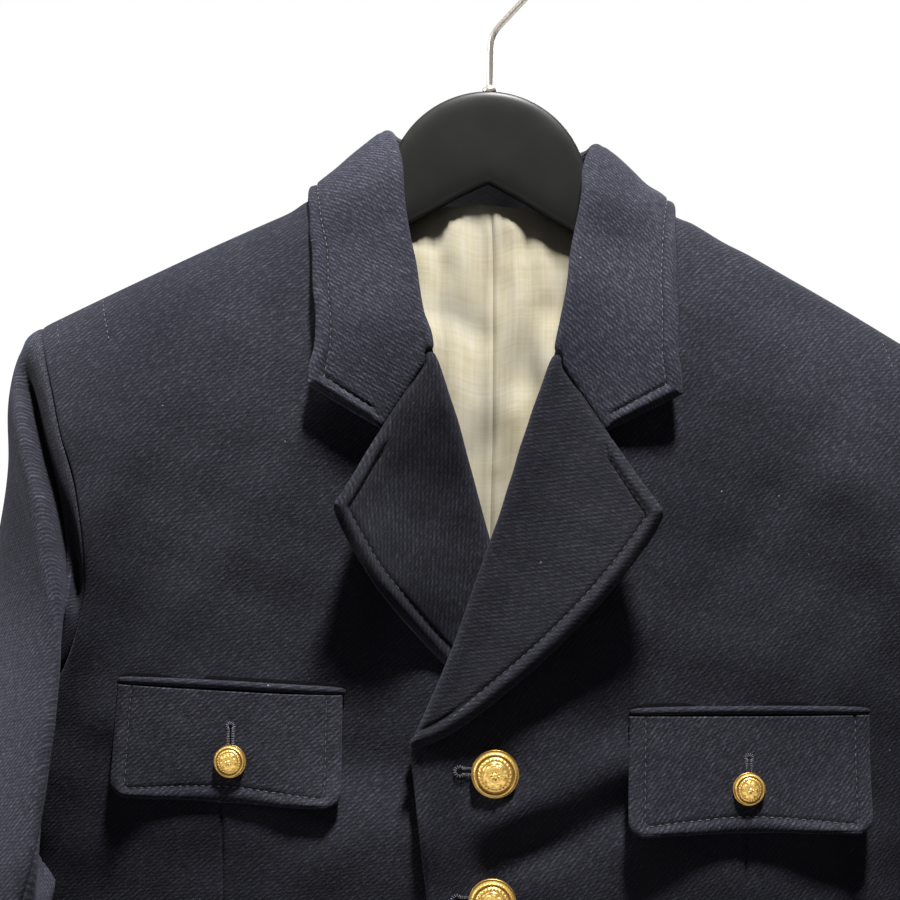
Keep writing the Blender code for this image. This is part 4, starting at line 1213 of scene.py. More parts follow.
def lapel_grid(side):
    """A lapel from its break up to the collar, in rows from the return under its roll to its free edge."""
    rows = []
    last = len(LAPEL["roll_x"]) - 1
    for row, (roll_x, roll_z, edge_x, edge_z) in enumerate(zip(*LAPEL.values())):
        radius = ROLL + UNDER_ROLL * (side < 0) * float(between(row, last, last - 2))
        rest = radius - WALL / 2
        fold = on_front(side, side * roll_x, roll_z)
        edge = on_front(side, side * edge_x, edge_z)
        out = out_of_front(side, side * roll_x, roll_z)
        low, high = max(row - 1, 0), min(row + 1, last)
        run_x = side * (LAPEL["roll_x"][high] - LAPEL["roll_x"][low])
        run = np.array([run_x, 0, LAPEL["roll_z"][high] - LAPEL["roll_z"][low]])
        way = unit(np.cross(out, run))
        if way @ (edge - fold) < 0:
            way = -way
        wide = math.hypot(edge_x - roll_x, edge_z - roll_z)
        squeeze = min(1.0, 0.12 + wide / 22)
        points = rolled(fold, way, out, radius, squeeze)
        past_roll = min(0.6, (squeeze * radius + 0.3) / wide)
        height = between(row, 0, last) * (side > 0 or row > CROSSED_ROWS)
        for share in past_roll + (1 - past_roll) * LAPEL_SHARES:
            x = roll_x + (edge_x - roll_x) * share
            z = roll_z + (edge_z - roll_z) * share
            lift = rest + (LAPEL_LIFT - rest) * share**2 * height
            points.append(on_front(side, side * x, z, lift))
        rows.append(points)
    return between_rows(rows, 150)


def lapel_cloth(side, hand):
    """A lapel, its grid, and the share of its top edge that lies past the notch, where it is free."""
    grid = lapel_grid(side)[::-1]
    head = grid[0]
    whole = np.linalg.norm(head[-1] - head[ROLL_TOP])
    grid = respaced(grid, 1, ROLLED, STITCHED, TURNED_GRID[0])
    grid = respaced(grid, 0, STITCHED, OPEN, TURNED_GRID[1])
    grid[0] += NOTCH_SLIT * unit(grid[1] - grid[0])
    x, z = side * grid[..., 0], grid[..., 2]
    past = np.hypot(x[0] - LAPEL["roll_x"][-1], z[0] - LAPEL["roll_z"][-1]) / whole
    free = between(past, NOTCH_AT, NOTCH_AT + 0.06)[None, :] * np.ones(grid.shape[:2])
    fade = between(x, LAPEL["roll_x"][0], LAPEL["roll_x"][0] + 40)
    rise = 0.5 * waves(grid[..., 0] * 1.5, grid[..., 2] * 1.5, 7.0 + side) * fade
    edges = ("stitched", "hidden", "hidden", "stitched")
    grain = GRAIN["lapel", side]
    piece = cloth(f"wool_lapel_{hand}", grid, CORE, edges, grain, LAPEL_WOOL, rise=rise, free_top=free)
    return piece, grid, free


def collar_section(side, row):
    """The fold, free edge and neck seam of one section of the collar's half."""
    fold, edge, seam = (np.array([COLLAR[f"{k}_{a}"][row] for a in "xyz"]) for k in ("fold", "edge", "seam"))
    for point in (fold, edge, seam):
        point[0] *= side
    return fold, edge, seam


COLLAR_SHARES = np.linspace(0, 1, 25)[1:]
COLLAR_CORE = (0, 0, -150)   # a point inside the neck
NOTCH_SLIT = 0.3   # the lapel's and the collar's ends are drawn apart by this much


def collar_half(side):
    """Half of the collar's fall, in rows from its return under the roll out to its free edge. On the chest the
    rows lie on the front. Behind, they hang from the fold."""
    rest = ROLL - WALL / 2
    rows = []
    corner = np.array([side * NOTCH[0], NOTCH[1]])
    last = len(COLLAR["fold_x"]) - 1
    for row in range(last + 1):
        fold, edge, seam = collar_section(side, row)
        on_chest = row < ON_CHEST
        if on_chest:
            fold = on_front(side, fold[0], fold[2])
            out = out_of_front(side, fold[0], fold[2])
            target = on_front(side, edge[0], edge[2], rest)
        else:
            target = edge
            out = unit(np.array([0, 1.0, 0.2]))
        if ON_CHEST <= row < last:
            run = unit(collar_section(side, row + 1)[0] - collar_section(side, row - 1)[0])
            out = unit(np.cross(unit(edge - fold), run))
            out *= math.copysign(1, out[2])
        way = unit(target - fold)
        way = unit(way - out * float(way @ out))
        points = rolled(fold, way, out, ROLL)
        past_roll = (ROLL + 0.5) / np.linalg.norm(target - fold)
        inner = past_roll + (NOTCH_AT - past_roll) * COLLAR_SHARES / NOTCH_AT
        for share in np.where(COLLAR_SHARES < NOTCH_AT, inner, COLLAR_SHARES):
            if row == 0 and share <= NOTCH_AT:
                flat = fold[[0, 2]] + (corner - fold[[0, 2]]) * share / NOTCH_AT
            elif row == 0:
                flat = corner + (edge[[0, 2]] - corner) * (share - NOTCH_AT) / (1 - NOTCH_AT)
            else:
                flat = fold[[0, 2]] + (edge[[0, 2]] - fold[[0, 2]]) * share
            if on_chest:
                lift = rest + (COLLAR_LIFT - rest) * share**2 * between(row, 5, 1)
                points.append(on_front(side, flat[0], flat[1], lift))
            else:
                belly = COLLAR_BELLY * math.sin(math.pi * share)
                points.append(fold + (edge - fold) * share + out * (rest * (1 - share) + belly))
        rows.append(points)
    return np.array(rows)


def collar_cloth(side, hand):
    """Half of the turned-down collar, its grid, and the share of its end that is free past the notch."""
    half = between_rows(collar_half(side), 130)
    grid = respaced(half, 1, ROLLED, STITCHED, TURNED_GRID[0])
    grid = respaced(grid, 0, STITCHED, OPEN, TURNED_GRID[1])
    grid[0] += NOTCH_SLIT * unit(grid[1] - grid[0])
    past = lengths(grid[:1], 1)[0]
    nearest = np.argmin(np.hypot(grid[0, :, 0] - side * NOTCH[0], grid[0, :, 2] - NOTCH[1]))
    free = between(past, past[nearest], past[nearest] + 2.5)[None, :] * np.ones(grid.shape[:2])
    edges = ("stitched", "hidden", "hidden", "stitched")
    grain = GRAIN["collar", side]
    piece = cloth(f"wool_collar_{hand}", grid, COLLAR_CORE, edges, grain, COLLAR_WOOL, free_top=free)
    return piece, grid, free


def collar_stand_grid():
    """The stand, from the collar's fold down to the neck seam, right round the back of the neck."""
    halves = []
    for side in (-1, 1):
        grid = collar_half(side)
        rows = []
        for row in range(ON_CHEST - 1, len(grid)):
            seam = collar_section(side, row)[2]
            way = unit(seam - grid[row, 0])
            top, foot = grid[row, 0] + way * 0.5, seam - way * 0.6
            rows.append([top + (foot - top) * share for share in np.linspace(0, 1, 12)])
        halves.append(between_rows(rows, 80))
    return np.concatenate([halves[0], halves[1][::-1][1:]])


# ---- lining, pockets ----

LINING_CREASES = table(
    "side x0 z0 x1 z1 width rise",
    (0, 9, -168, 31, -232, 6, 0.8),
    (0, 22, -188, -6, -292, 7, -0.8),
    (0, -30, -166, -14, -246, 7, 0.8),
    (0, -22, -190, -4, -200, 6, -0.5),
    (0, 12, -236, 27, -196, 5, 0.6),
    (0, -8, -226, -18, -170, 6, -0.6),
    (0, 3, -262, 16, -230, 5, 0.6),
)


def lining_grid(side):
    """Half of the lining on the inside of the back, its rows slanting down and out from the neck."""
    share = np.linspace(0, 1, 80)
    falling = 1.35 * (np.hypot((share - 0.26).clip(0), 0.1) - 0.135)
    x_edge = np.append(BACK["x_out"], SIDE_BACK * body_at("half", np.array(BELOW)))
    z_edge = np.append(BACK["z_out"], BELOW)
    at = np.arange(len(LINING["z"]))
    rows = []
    for t in np.linspace(0, len(at) - 1, 260):
        level, slant = float(smooth(t, at, LINING["z"])), float(smooth(t, at, LINING["slant"]))
        z = level - slant * falling
        x = side * (np.interp(-z, -z_edge, x_edge) - LINING_IN) * share
        rows.append(on_back(x, z, -(WALL + LINING_EASE) + 0 * x))
    grid = trimmed(np.array(rows), 0.03, 0.25)
    return respaced(respaced(grid, 1, SEAMED, OPEN, LINING_GRID[0]), 0, SEAMED, OPEN, LINING_GRID[1])


def billow(x, z):
    """Where the lining lies from front to back once it hangs free, forward in soft lobes below the hanger."""
    below = np.interp(np.abs(x - HANGER_ASIDE), HANGER["x"], HANGER["bottom"]) - z
    ahead = LINING_BEHIND + (LINING_AHEAD - LINING_BEHIND) * between(below, -3, 11)
    out = x - LOBE_MIDDLE
    lobes = 1.8 * bump(out, 8) + 1.9 * bump(np.abs(out) - 20.5, 3.5) + 1.1 * bump(out - 31, 7) - 0.4
    return ahead + lobes * between(below, 2, 10) + 8 * between(z, -200, -360)


def lining_rise(side, x, z):
    """How high the lining's pleat at the centre stands, with the creases pressed into it."""
    pleat = 0.5 * bump(x - side * 2.2, 1.6) - 0.3 * bump(x - side * 6, 3)
    pressed = 0.5 * np.sin(0.21 * x + 0.05 * z) * bump(x - side * 24, 16)
    pressed = pressed + 0.35 * np.sin(0.16 * x - 0.09 * z + 1.3)
    pressed = pressed + 0.35 * np.sin(0.11 * x + 0.13 * z + 0.4) * bump(z + 230, 60)
    return np.clip(pleat + pressed + fold_rise(0, x, z, LINING_CREASES), -2.2, 2.4)


def lining_cloth(side, hand):
    """Half of the lining: on the back where it is held, and hanging free below the hanger."""
    grid = lining_grid(side)
    x, z = grid[..., 0], grid[..., 2]
    free = between(np.abs(x), 110, 60) * between(z, -560, -390)
    grid[..., 1] += (billow(x, z) - grid[..., 1]) * free
    rise = lining_rise(side, x, z) * between(lengths(grid, 0), 0, 12)
    rise = rise * free + rise.clip(0) * (1 - free)
    edges = ("plain", "plain", "seam", "hidden")
    grain = GRAIN["lining", side]
    piece = cloth(f"slub_lining_{hand}", grid, BEHIND, edges, grain, LINED, LINING_WALL, rise, soft=0.15)
    return piece, grid


FLAP_COLUMNS = ("side", "x", "z", "wide", "tall", "fall", "outer", "middle", "inner")


def flap_grid(row):
    """A pocket flap on the chest, with round lower corners and its lower edge standing off."""
    side, x, z, wide, tall, fall, outer, middle, inner = (POCKETS[k][row] for k in FLAP_COLUMNS)
    straight = tall - FLAP_CORNER
    share = np.linspace(-1, 1, 61)
    stand = middle + (outer - middle) * np.clip(share, 0, 1) ** FLAP_STAND_POWER
    stand = stand + (inner - middle) * np.clip(-share, 0, 1) ** FLAP_STAND_POWER
    round_corner = straight + FLAP_CORNER * np.sin(np.linspace(0, math.pi / 2, 10)[1:])
    grid = []
    for down in np.concatenate([np.linspace(0, straight, 24), round_corner]):
        past = max(0.0, down - straight)
        narrow = FLAP_CORNER - math.sqrt(max(0.0, FLAP_CORNER**2 - past**2))
        lift = FLAP_WALL + EASE + stand * (down / tall) ** FLAP_STAND_POWER
        out = x + (wide / 2 - narrow) * share
        grid.append(on_front(side, side * out, z + fall / 2 * share - down, lift))
    return side, np.array(grid)


def flap_cloth(row, hand):
    """A pocket flap, stitched round its three free edges."""
    side, grid = flap_grid(row)
    grid = respaced(grid, 1, STITCHED, STITCHED, FLAP_GRID)
    grid = respaced(grid, 0, OPEN, STITCHED, FLAP_GRID)
    rise = 0.25 * waves(grid[..., 0] * 2, grid[..., 2] * 2, 3.0 + side)
    edges = ("hidden", "stitched", "stitched", "stitched")
    grain = GRAIN["flap", side]
    piece = cloth(f"wool_flap_{hand}", grid, CORE, edges, grain, FLAP_WOOL, FLAP_WALL, rise, stitch_dip=0.5)
    return piece, grid


def welt_grid(row, low, high, lift, bow):
    """A strip along a pocket's mouth, its ends tapered into the cloth. low and high are its edges' heights
    over the flap's top, lift is how far it stands off the cloth, and bow how much more its middle does."""
    side, x, z, wide, fall = (POCKETS[k][row] for k in ("side", "mouth", "z", "mouth_wide", "fall"))
    turns = np.linspace(0, math.pi, 13)
    level = (low + high) / 2
    from_level = low + (high - low) * (1 - np.cos(turns)) / 2 - level
    grid = []
    for along in np.linspace(-1, 1, 90):
        full = (1 - abs(along) ** 14) ** 0.5
        arch = 1.1 * (1 - along * along) - 0.6
        up = level + from_level * (0.35 + 0.65 * full)
        out = side * (x + wide / 2 * along) + 0 * up
        height = lift + bow * np.sin(turns) * full
        grid.append(on_front(side, out, z + fall / 2 * along + up + arch, height))
    return np.array(grid).transpose(1, 0, 2)


# ---- stitches and thread, by Geometry Nodes ----

def socket_id(group, name):
    return next(s.identifier for s in group.interface.items_tree if s.name == name and s.in_out == "INPUT")


def node_group(name, *sizes):
    """An empty node tree that takes a mesh, these sizes and a thread's material, and gives a mesh."""
    group = bpy.data.node_groups.new(name, "GeometryNodeTree")
    group.interface.new_socket("Geometry", in_out="INPUT", socket_type="NodeSocketGeometry")
    for label in sizes:
        group.interface.new_socket(label, in_out="INPUT", socket_type="NodeSocketFloat")
    group.interface.new_socket("Thread", in_out="INPUT", socket_type="NodeSocketMaterial")
    group.interface.new_socket("Geometry", in_out="OUTPUT", socket_type="NodeSocketGeometry")
    return group, group.nodes.new("NodeGroupInput").outputs, group.nodes.new("NodeGroupOutput")


def stitch_tree():
    """Stitches of one length at an even pitch along each line of a mesh."""
    group, given, result = node_group("row of stitches", "Pitch", "Length", "Thick")
    path = add(group, "GeometryNodeMeshToCurve", {"Mesh": given["Geometry"]}).outputs[0]
    paced = {"Curve": path, "Length": given["Pitch"]}
    even = add(group, "GeometryNodeResampleCurve", paced, mode="LENGTH").outputs[0]
    along = add(group, "GeometryNodeInputTangent").outputs[0]
    turn = add(group, "FunctionNodeAlignRotationToVector", {"Vector": along}, axis="Z").outputs[0]
    bead = add(group, "GeometryNodeMeshUVSphere", {"Segments": 8, "Rings": 6, "Radius": 1.0}).outputs[0]
    half = add(group, "ShaderNodeMath", {0: given["Length"], 1: 0.5}, operation="MULTIPLY").outputs[0]
    size = add(group, "ShaderNodeCombineXYZ", {0: given["Thick"], 1: given["Thick"], 2: half}).outputs[0]
    one = add(group, "GeometryNodeTransform", {"Geometry": bead, "Scale": size}).outputs[0]
    laid = {"Points": even, "Instance": one, "Rotation": turn}
    all_of = add(group, "GeometryNodeInstanceOnPoints", laid).outputs[0]
    real = add(group, "GeometryNodeRealizeInstances", {"Geometry": all_of}).outputs[0]
    done = add(group, "GeometryNodeSetMaterial", {"Geometry": real, "Material": given["Thread"]}).outputs[0]
    group.links.new(done, result.inputs[0])
    return group


def thread_tree():
    """A round thread along each line of a mesh."""
    group, given, result = node_group("laid threads", "Thick")
    path = add(group, "GeometryNodeMeshToCurve", {"Mesh": given["Geometry"]}).outputs[0]
    section = {"Resolution": 6, "Radius": given["Thick"]}
    ring = add(group, "GeometryNodeCurvePrimitiveCircle", section, mode="RADIUS").outputs[0]
    swept = {"Curve": path, "Profile Curve": ring, "Fill Caps": True}
    tube = add(group, "GeometryNodeCurveToMesh", swept).outputs[0]
    real = add(group, "GeometryNodeRealizeInstances", {"Geometry": tube}).outputs[0]
    done = add(group, "GeometryNodeSetMaterial", {"Geometry": real, "Material": given["Thread"]}).outputs[0]
    group.links.new(done, result.inputs[0])
    return group


def grown(name, paths, group, thread, **sizes):
    """A plain mesh grown by a node group from lines of points."""
    points, edges = [], []
    for path in paths:
        first = len(points)
        points += (np.asarray(path) * MM).tolist()
        edges += [(k, k + 1) for k in range(first, len(points) - 1)]
    lines = bpy.data.meshes.new(name + "_lines")
    lines.from_pydata(points, edges, [])
    maker = bpy.data.objects.new(name + "_lines", lines)
    bpy.context.scene.collection.objects.link(maker)
    modifier = maker.modifiers.new("grown", "NODES")
    modifier.node_group = group
    for label, value in sizes.items():
        modifier[socket_id(group, label)] = value * MM
    modifier[socket_id(group, "Thread")] = thread
    graph = bpy.context.evaluated_depsgraph_get()
    mesh = bpy.data.meshes.new_from_object(maker.evaluated_get(graph))
    mesh.name = name
    bpy.data.objects.remove(maker)
    bpy.data.meshes.remove(lines)
    mesh.shade_smooth()
    piece = bpy.data.objects.new(name, mesh)
    bpy.context.scene.collection.objects.link(piece)
    return piece


# ---- buttons, hanger, hook ----

# The back of a button, ring by ring: how wide each is and how far before the foot, as shares of the radius.
BUTTON_BACK = np.array(((1.0, 0.30), (0.9, 0.22), (0.3, 0.20), (0.22, 0.12), (0.22, 0.02)))
BUTTON_RINGS = 46
BUTTON_AROUND = 120


def struck_face(r, turn):
    """How high a struck button's face stands, as a share of its radius, and how much its colour is darkened
    there. It has a dome, a roped rim, a beaded ring, and a rosette of two rows of petals on a lined ground."""
    dome = 0.30 * (1 - (r / 0.95) ** 2).clip(0) ** 0.8 + 0.36
    petals = (0.5 + 0.5 * np.cos(8 * turn)) ** 0.7 * (0.6 + 0.4 * np.cos(9 * (r - 0.36)))
    inner_petals = (0.5 + 0.5 * np.cos(8 * turn + math.pi)) ** 2
    motif = 0.055 * between(r, 0.56, 0.51) * between(r, 0.14, 0.19) * petals
    motif += 0.045 * between(r, 0.42, 0.38) * between(r, 0.10, 0.14) * inner_petals
    motif += 0.06 * between(r, 0.12, 0.08)
    beads = 0.045 * bump(r - 0.66, 0.045) * (0.45 + 0.55 * np.cos(26 * turn))
    ground = 0.008 * np.cos(60 * r) * between(r, 0.2, 0.3) * between(r, 0.62, 0.57)
    rope = bump(r - 0.88, 0.055) * (0.075 + 0.028 * np.cos(44 * turn + 16 * r))
    gutter = -0.05 * bump(r - 0.77, 0.035)
    height = dome + motif + beads + ground + rope + gutter - 0.34 * between(r, 0.93, 1.0)
    raised = motif / 0.05 + beads / 0.045 + rope / 0.09
    return height, (1 - raised.clip(0, 1)) * 0.75 + 0.5 * bump(r - 0.77, 0.04)


def button_mesh(name, foot, out, radius, seed):
    """A domed, struck button that faces out from its foot, turned by its seed."""
    angle = np.linspace(0, 2 * math.pi, BUTTON_AROUND, endpoint=False)
    r, turn = np.meshgrid(np.linspace(0, 1, BUTTON_RINGS), angle, indexing="ij")
    right = unit(np.cross((0, 0, 1.0), out))
    up = np.cross(out, right)

    def placed(share, turn, height):
        level = np.cos(turn)[..., None] * right + np.sin(turn)[..., None] * up
        return foot + radius * (share[..., None] * level + height[..., None] * out)

    height, recess = struck_face(r, turn)
    back = placed(BUTTON_BACK[:, :1], angle + seed, BUTTON_BACK[:, 1:])
    rings = np.concatenate([placed(r, turn + seed, height), back])
    recess = np.concatenate([recess, np.full(back.shape[:2], 0.9)])
    faces = [(0, 1 + j, 1 + (j + 1) % BUTTON_AROUND) for j in range(BUTTON_AROUND)]
    faces += [(a, d, c, b) for a, b, c, d in band_corners(len(rings) - 1, BUTTON_AROUND, 1)]
    last = 1 + (len(rings) - 2) * BUTTON_AROUND
    faces.append(tuple(range(last, last + BUTTON_AROUND)))
    points = np.concatenate([rings[0].mean(axis=0)[None], rings[1:].reshape(-1, 3)])
    piece = mesh_piece(name, points, faces, GILT)
    set_mark(piece, "recess", np.append(recess[0, 0], recess[1:]))
    return piece


def band_corners(rings, around, first):
    """The corners of each face between rings of points that start at the point first: two on a ring, and two
    on the next one."""
    for i in range(rings - 1):
        for j in range(around):
            here, there = first + i * around + j, first + i * around + (j + 1) % around
            yield here, there, there + around, here + around


def loft(name, rings, made_of):
    """A closed solid through rings of points, capped at both ends."""
    rings = np.asarray(rings, float)
    count, around = rings.shape[:2]
    faces = list(band_corners(count, around, 0))
    faces.append(tuple(range(around))[::-1])
    faces.append(tuple(range((count - 1) * around, count * around)))
    return mesh_piece(name, rings.reshape(-1, 3), faces, made_of)


def hanger_top(x):
    """The upper edge: a round neck plate, and the arms just under the shoulders."""
    centre, radius = HANGER_NECK
    x = abs(x)
    line = shoulder(x) - WALL - EASE - HANGER_DROP * float(between(x, 84, 70))
    if x >= radius:
        return line
    return max(line, centre + math.sqrt(radius**2 - x**2))


def hanger_ring(x):
    """One upright section: flat faces with a narrow rounded edge at the neck plate, rounder along the arms."""
    away = abs(x)
    top = float(hanger_top(x))
    edge = np.interp if away < HANGER_PEAK else smooth
    bottom = float(edge(away, HANGER["x"], HANGER["bottom"]))
    half = float(np.interp(away, HANGER["x"], HANGER["half"]))
    power = 2 + 3.0 * float(between(away, 60, 40))
    ring = []
    for k in range(HANGER_AROUND):
        angle = 2 * math.pi * (k + 0.5) / HANGER_AROUND
        cos, sin = math.cos(angle), math.sin(angle)
        y = half * math.copysign(abs(cos) ** (2 / power), cos)
        z = (top + bottom) / 2 + (top - bottom) / 2 * math.copysign(abs(sin) ** (2 / power), sin)
        if away > HANGER_NECK[1]:
            room = float(-front_y(1, away, z)) - WALL - HANGER_ROOM
            room_back = float(back_y(away, z)) - WALL - LINING_WALL - HANGER_ROOM
            y = max(-0.8 * max(room, 0.6), min(0.8 * max(room_back, 0.6), y))
        ring.append((x, y, z))
    return ring


def hanger_mesh():
    """The hanger's body. Its arms tilt with the shoulders on them, and its neck plate hangs to one side."""
    radius = HANGER_NECK[1]
    inner = np.sin(np.linspace(0, 1, 60) * math.pi / 2) * radius
    outer = np.linspace(radius, HANGER_HALF, 74)[1:]
    half = np.concatenate([inner[1:], outer])
    stations = np.concatenate([-half[::-1], [0], half])
    rings = np.array([hanger_ring(float(x)) for x in stations])
    arm = between(np.abs(rings[..., :1]), 47, 72)
    rings = hung(rings) * arm + (rings + (HANGER_ASIDE, 0, 0)) * (1 - arm)
    return loft("moulded_hanger", rings, PLASTIC)


def hook_path():
    """The wire's line as x, z and radius: up from the plate, over its bend, and round to its rounded end."""
    centre = -(HOOK_RADIUS - HOOK_WIRE)
    drop = (HOOK_RADIUS - HANGER_ASIDE * math.cos(HOOK_LEAN)) / math.sin(HOOK_LEAN)
    knee = np.array([HANGER_ASIDE, centre - drop])
    foot = HANGER_NECK[0] + HANGER_NECK[1] + 0.3
    low = knee - (0, HOOK_BEND)
    high = knee + np.array([math.sin(HOOK_LEAN), math.cos(HOOK_LEAN)]) * HOOK_BEND
    start = np.array([HOOK_RADIUS * math.cos(-HOOK_LEAN), centre + HOOK_RADIUS * math.sin(-HOOK_LEAN)])
    line = [(HANGER_ASIDE, z) for z in np.linspace(foot + 6, low[1], 6)]
    line += [(1 - t) ** 2 * low + 2 * t * (1 - t) * knee + t * t * high for t in np.linspace(0, 1, 9)[1:]]
    line += [high + (start - high) * t for t in np.linspace(0, 1, 5)[1:-1]]
    for turn in np.linspace(-HOOK_LEAN, HOOK_END, 60):
        line.append((HOOK_RADIUS * math.cos(turn), centre + HOOK_RADIUS * math.sin(turn)))
    x, z = line[-1]
    path = [(HANGER_ASIDE, foot + up, radius) for up, radius in FERRULE]
    path += [(*at, HOOK_WIRE) for at in line]
    return np.array(path + [(x + 0.15, z - 0.5, HOOK_WIRE * 0.8), (x + 0.25, z - 0.8, HOOK_WIRE * 0.4)])


def hook_mesh():
    """The round wire along its line, lying in one upright plane."""
    points = hook_path()
    ways = np.gradient(points[:, :2], axis=0)
    ways[:len(FERRULE)] = (0, 1)
    turns = np.linspace(0, 2 * math.pi, 24, endpoint=False)[:, None]
    rings = []
    for (x, z, radius), way in zip(points, ways):
        aside = unit(np.array([way[1], 0, -way[0]]))
        rings.append((x, 0, z) + radius * (aside * np.cos(turns) + np.array((0, 1, 0)) * np.sin(turns)))
    return loft("nickel_hook", rings, NICKEL)


# ---- worked buttonholes ----

HOLE_THREAD = 1.25   # length of the threads round a buttonhole
HOLE_AT = (-11.4, -397.2)   # the eye of the first hole of the front
# The holes: side, where the eye is, which way the slit runs, its length, its eye's radius and how far it
# stands off. The first is at the top of the front, and the next two are the flaps'.
HOLES = [
    (1, *HOLE_AT, 0.0, 12.0, 1.5, 0.35),
    (-1, -POCKETS["button_x"][0], -380.2, -math.pi / 2, 10.0, 0.9, 2.15),
    (1, POCKETS["button_x"][1], -388.6, -math.pi / 2, 10.0, 0.9, 2.35),
]
for number in range(1, BUTTON_COUNT):
    HOLES.append((1, HOLE_AT[0], HOLE_AT[1] - number * BUTTON_SPACING, 0.0, 12.0, 1.5, 0.35))


def keyhole(side, x, z, angle, long, eye, lift):
    """The threads round a worked buttonhole, and the outline of its slit. The eye is at the start."""
    cos, sin = math.cos(angle), math.sin(angle)
    slit, inner, outer = [], [], []
    round_eye = [(eye * math.cos(a), eye * math.sin(a)) for a in np.linspace(0.6, 2 * math.pi - 0.6, 12)]
    along = [(u, eye * 0.5) for u in np.linspace(eye, long, 13)]
    for u, w in along[::-1] + round_eye + [(u, -w) for u, w in along]:
        length = math.hypot(u, w)
        du, dw = (u / length, w / length) if u < eye else (0, math.copysign(1, w))
        inner.append((u, w))
        outer.append((u + du * HOLE_THREAD, w + dw * HOLE_THREAD))
        slit.append((u * 0.98, w * 0.9))

    def placed(points, height):
        u, w = np.array(points).T
        return on_front(side, x + u * cos - w * sin, z + u * sin + w * cos, height)

    low, high = placed(inner, lift), placed(outer, lift)
    crest = (low + high) / 2 + 0.3 * out_of_front(side, np.array([x]), np.array([z]))
    threads = [np.array([a, c, b]) for a, c, b in zip(low, crest, high)]
    return threads, placed(slit, lift - 0.12)


# ---- building ----

CORE = (0, 0, -450)   # a point inside the jacket
BEHIND = (0, 400, -450)   # a point behind it, which the lining faces away from
# The way the twill's ribs run on each piece, in degrees up from level, as seen from the front.
GRAIN = {
    ("front", -1): 40, ("front", 1): 52,
    ("back", -1): 52, ("back", 1): 52,
    ("side", -1): 50, ("side", 1): 50,
    ("sleeve", -1): 44, ("sleeve", 1): 50,
    ("lapel", -1): 88, ("lapel", 1): 8,
    ("collar", -1): -28, ("collar", 1): -40,
    ("flap", -1): 42, ("flap", 1): 55,
    ("lining", -1): 90, ("lining", 1): 90,
}
# The tacks that hold the padding at the shoulders' ends: each from one place to another.
TACKS = ((-185, -194, -179.5, -211), (-207, -206, -205, -214), (181, -196, 184, -206))


def turned_edge_lines(outer, free, stop=None):
    """The lines of topstitching on a lapel or a collar: down its free edge, and on its end past the notch."""
    column = outer.shape[1] - 1 - STITCH_ROW
    from_notch = int(np.argmax(free[0] > 0.5)) + 1
    return [outer[STITCH_ROW:stop, column], outer[STITCH_ROW, from_notch:column + 1]]


def body_and_lapel(side, hand):
    """The front, back, side, sleeve, lapel and lining of one side. Gives the lapel's lines of stitching."""
    for part, cut, on in (("front", front_cloth, "hanger_body"), ("back", back_cloth, "hanger_body"),
                          ("side", side_cloth, f"front_{hand}")):
        piece = cut(side, hand)
        settle(piece, [f"{part}_{hand}"])
    sleeve_cloth(side, hand)
    lapel, grid, free = lapel_cloth(side, hand)
    settle(lapel, [f"lapel_{hand}"])
    lining, lined = lining_cloth(side, hand)
    settle(lining, [f"lining_{hand}"])
    return turned_edge_lines(outer_faces[lapel.name], free, -14)


def whole_collar():
    """Both halves of the fall, and the stand. Gives the fall's lines of stitching."""
    lines = []
    for side, hand in HANDS[::-1]:
        piece, grid, free = collar_cloth(side, hand)
        settle(piece, ["collar_fall"])
        lines += turned_edge_lines(outer_faces[piece.name], free)
    grid = collar_stand_grid()
    spaced = respaced(grid, 0, OPEN, OPEN, STAND_GRID)
    # The stand is painted in deep shade.
    stand = cloth("wool_collar_stand", spaced, COLLAR_CORE, ("hidden",) * 4, 30, SHADE)
    settle(stand, ["collar_stand"])
    return lines


def flap_line(outer):
    """The line of topstitching round three edges of a flap."""
    low, right = (size - 1 - STITCH_ROW for size in outer.shape[:2])
    up_right = outer[3:low + 1, right][::-1]
    return np.concatenate([outer[3:low, STITCH_ROW], outer[low, STITCH_ROW:right], up_right])


def pocket(row, hand):
    """A chest pocket: flap, welt, a dark sheet painted as the shade in its mouth, and button. Gives the flap's
    line of stitching.
    """
    side = int(POCKETS["side"][row])
    flap, grid = flap_cloth(row, hand)
    settle(flap, [f"pocket_flap_{hand}"])
    lip = welt_grid(row, 0.6, WELT_TALL - 0.4, 0.6, 1.7)
    welt = cloth(f"wool_welt_{hand}", lip, CORE, ("hidden",) * 4, GRAIN["flap", side] - 30, WOOL, 1.0)
    settle(welt, [f"pocket_welt_{hand}"])
    # A dark sheet under the welt, painted as the shade inside the pocket's mouth.
    mouth = welt_grid(row, -2.6, WELT_TALL + 1.5, 0.35, 0.15)
    slit = cloth(f"pocket_mouth_painted_shade_{hand}", mouth, CORE, ("hidden",) * 4, 40, SHADE, 0.6)
    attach(slit, "root")
    x, z = side * POCKETS["button_x"][row], POCKETS["z"][row] + POCKETS["button"][row]
    foot = on_front(side, x, z, FLAP_WALL + EASE + 0.4 * POCKETS["middle"][row] - 1.2)
    out = out_of_front(side, x, z)
    badge = button_mesh(f"gilt_pocket_button_{hand}", foot, out, POCKET_BUTTON_RADIUS, 0.3)
    settle(badge, [f"pocket_button_{hand}"])
    return [flap_line(outer_faces[flap.name])]


def front_buttons():
    """The buttons down the front, each turned a little differently."""
    for number in range(BUTTON_COUNT):
        x, z = FIRST_BUTTON[0], FIRST_BUTTON[1] - number * BUTTON_SPACING
        foot, out = on_front(1, x, z, -1.9), out_of_front(1, x, z)
        turned_by = 0.2 + 0.4 * number
        badge = button_mesh(f"gilt_front_button_{number + 1}", foot, out, FRONT_BUTTON_RADIUS, turned_by)
        settle(badge, [f"front_button_{number + 1}"])


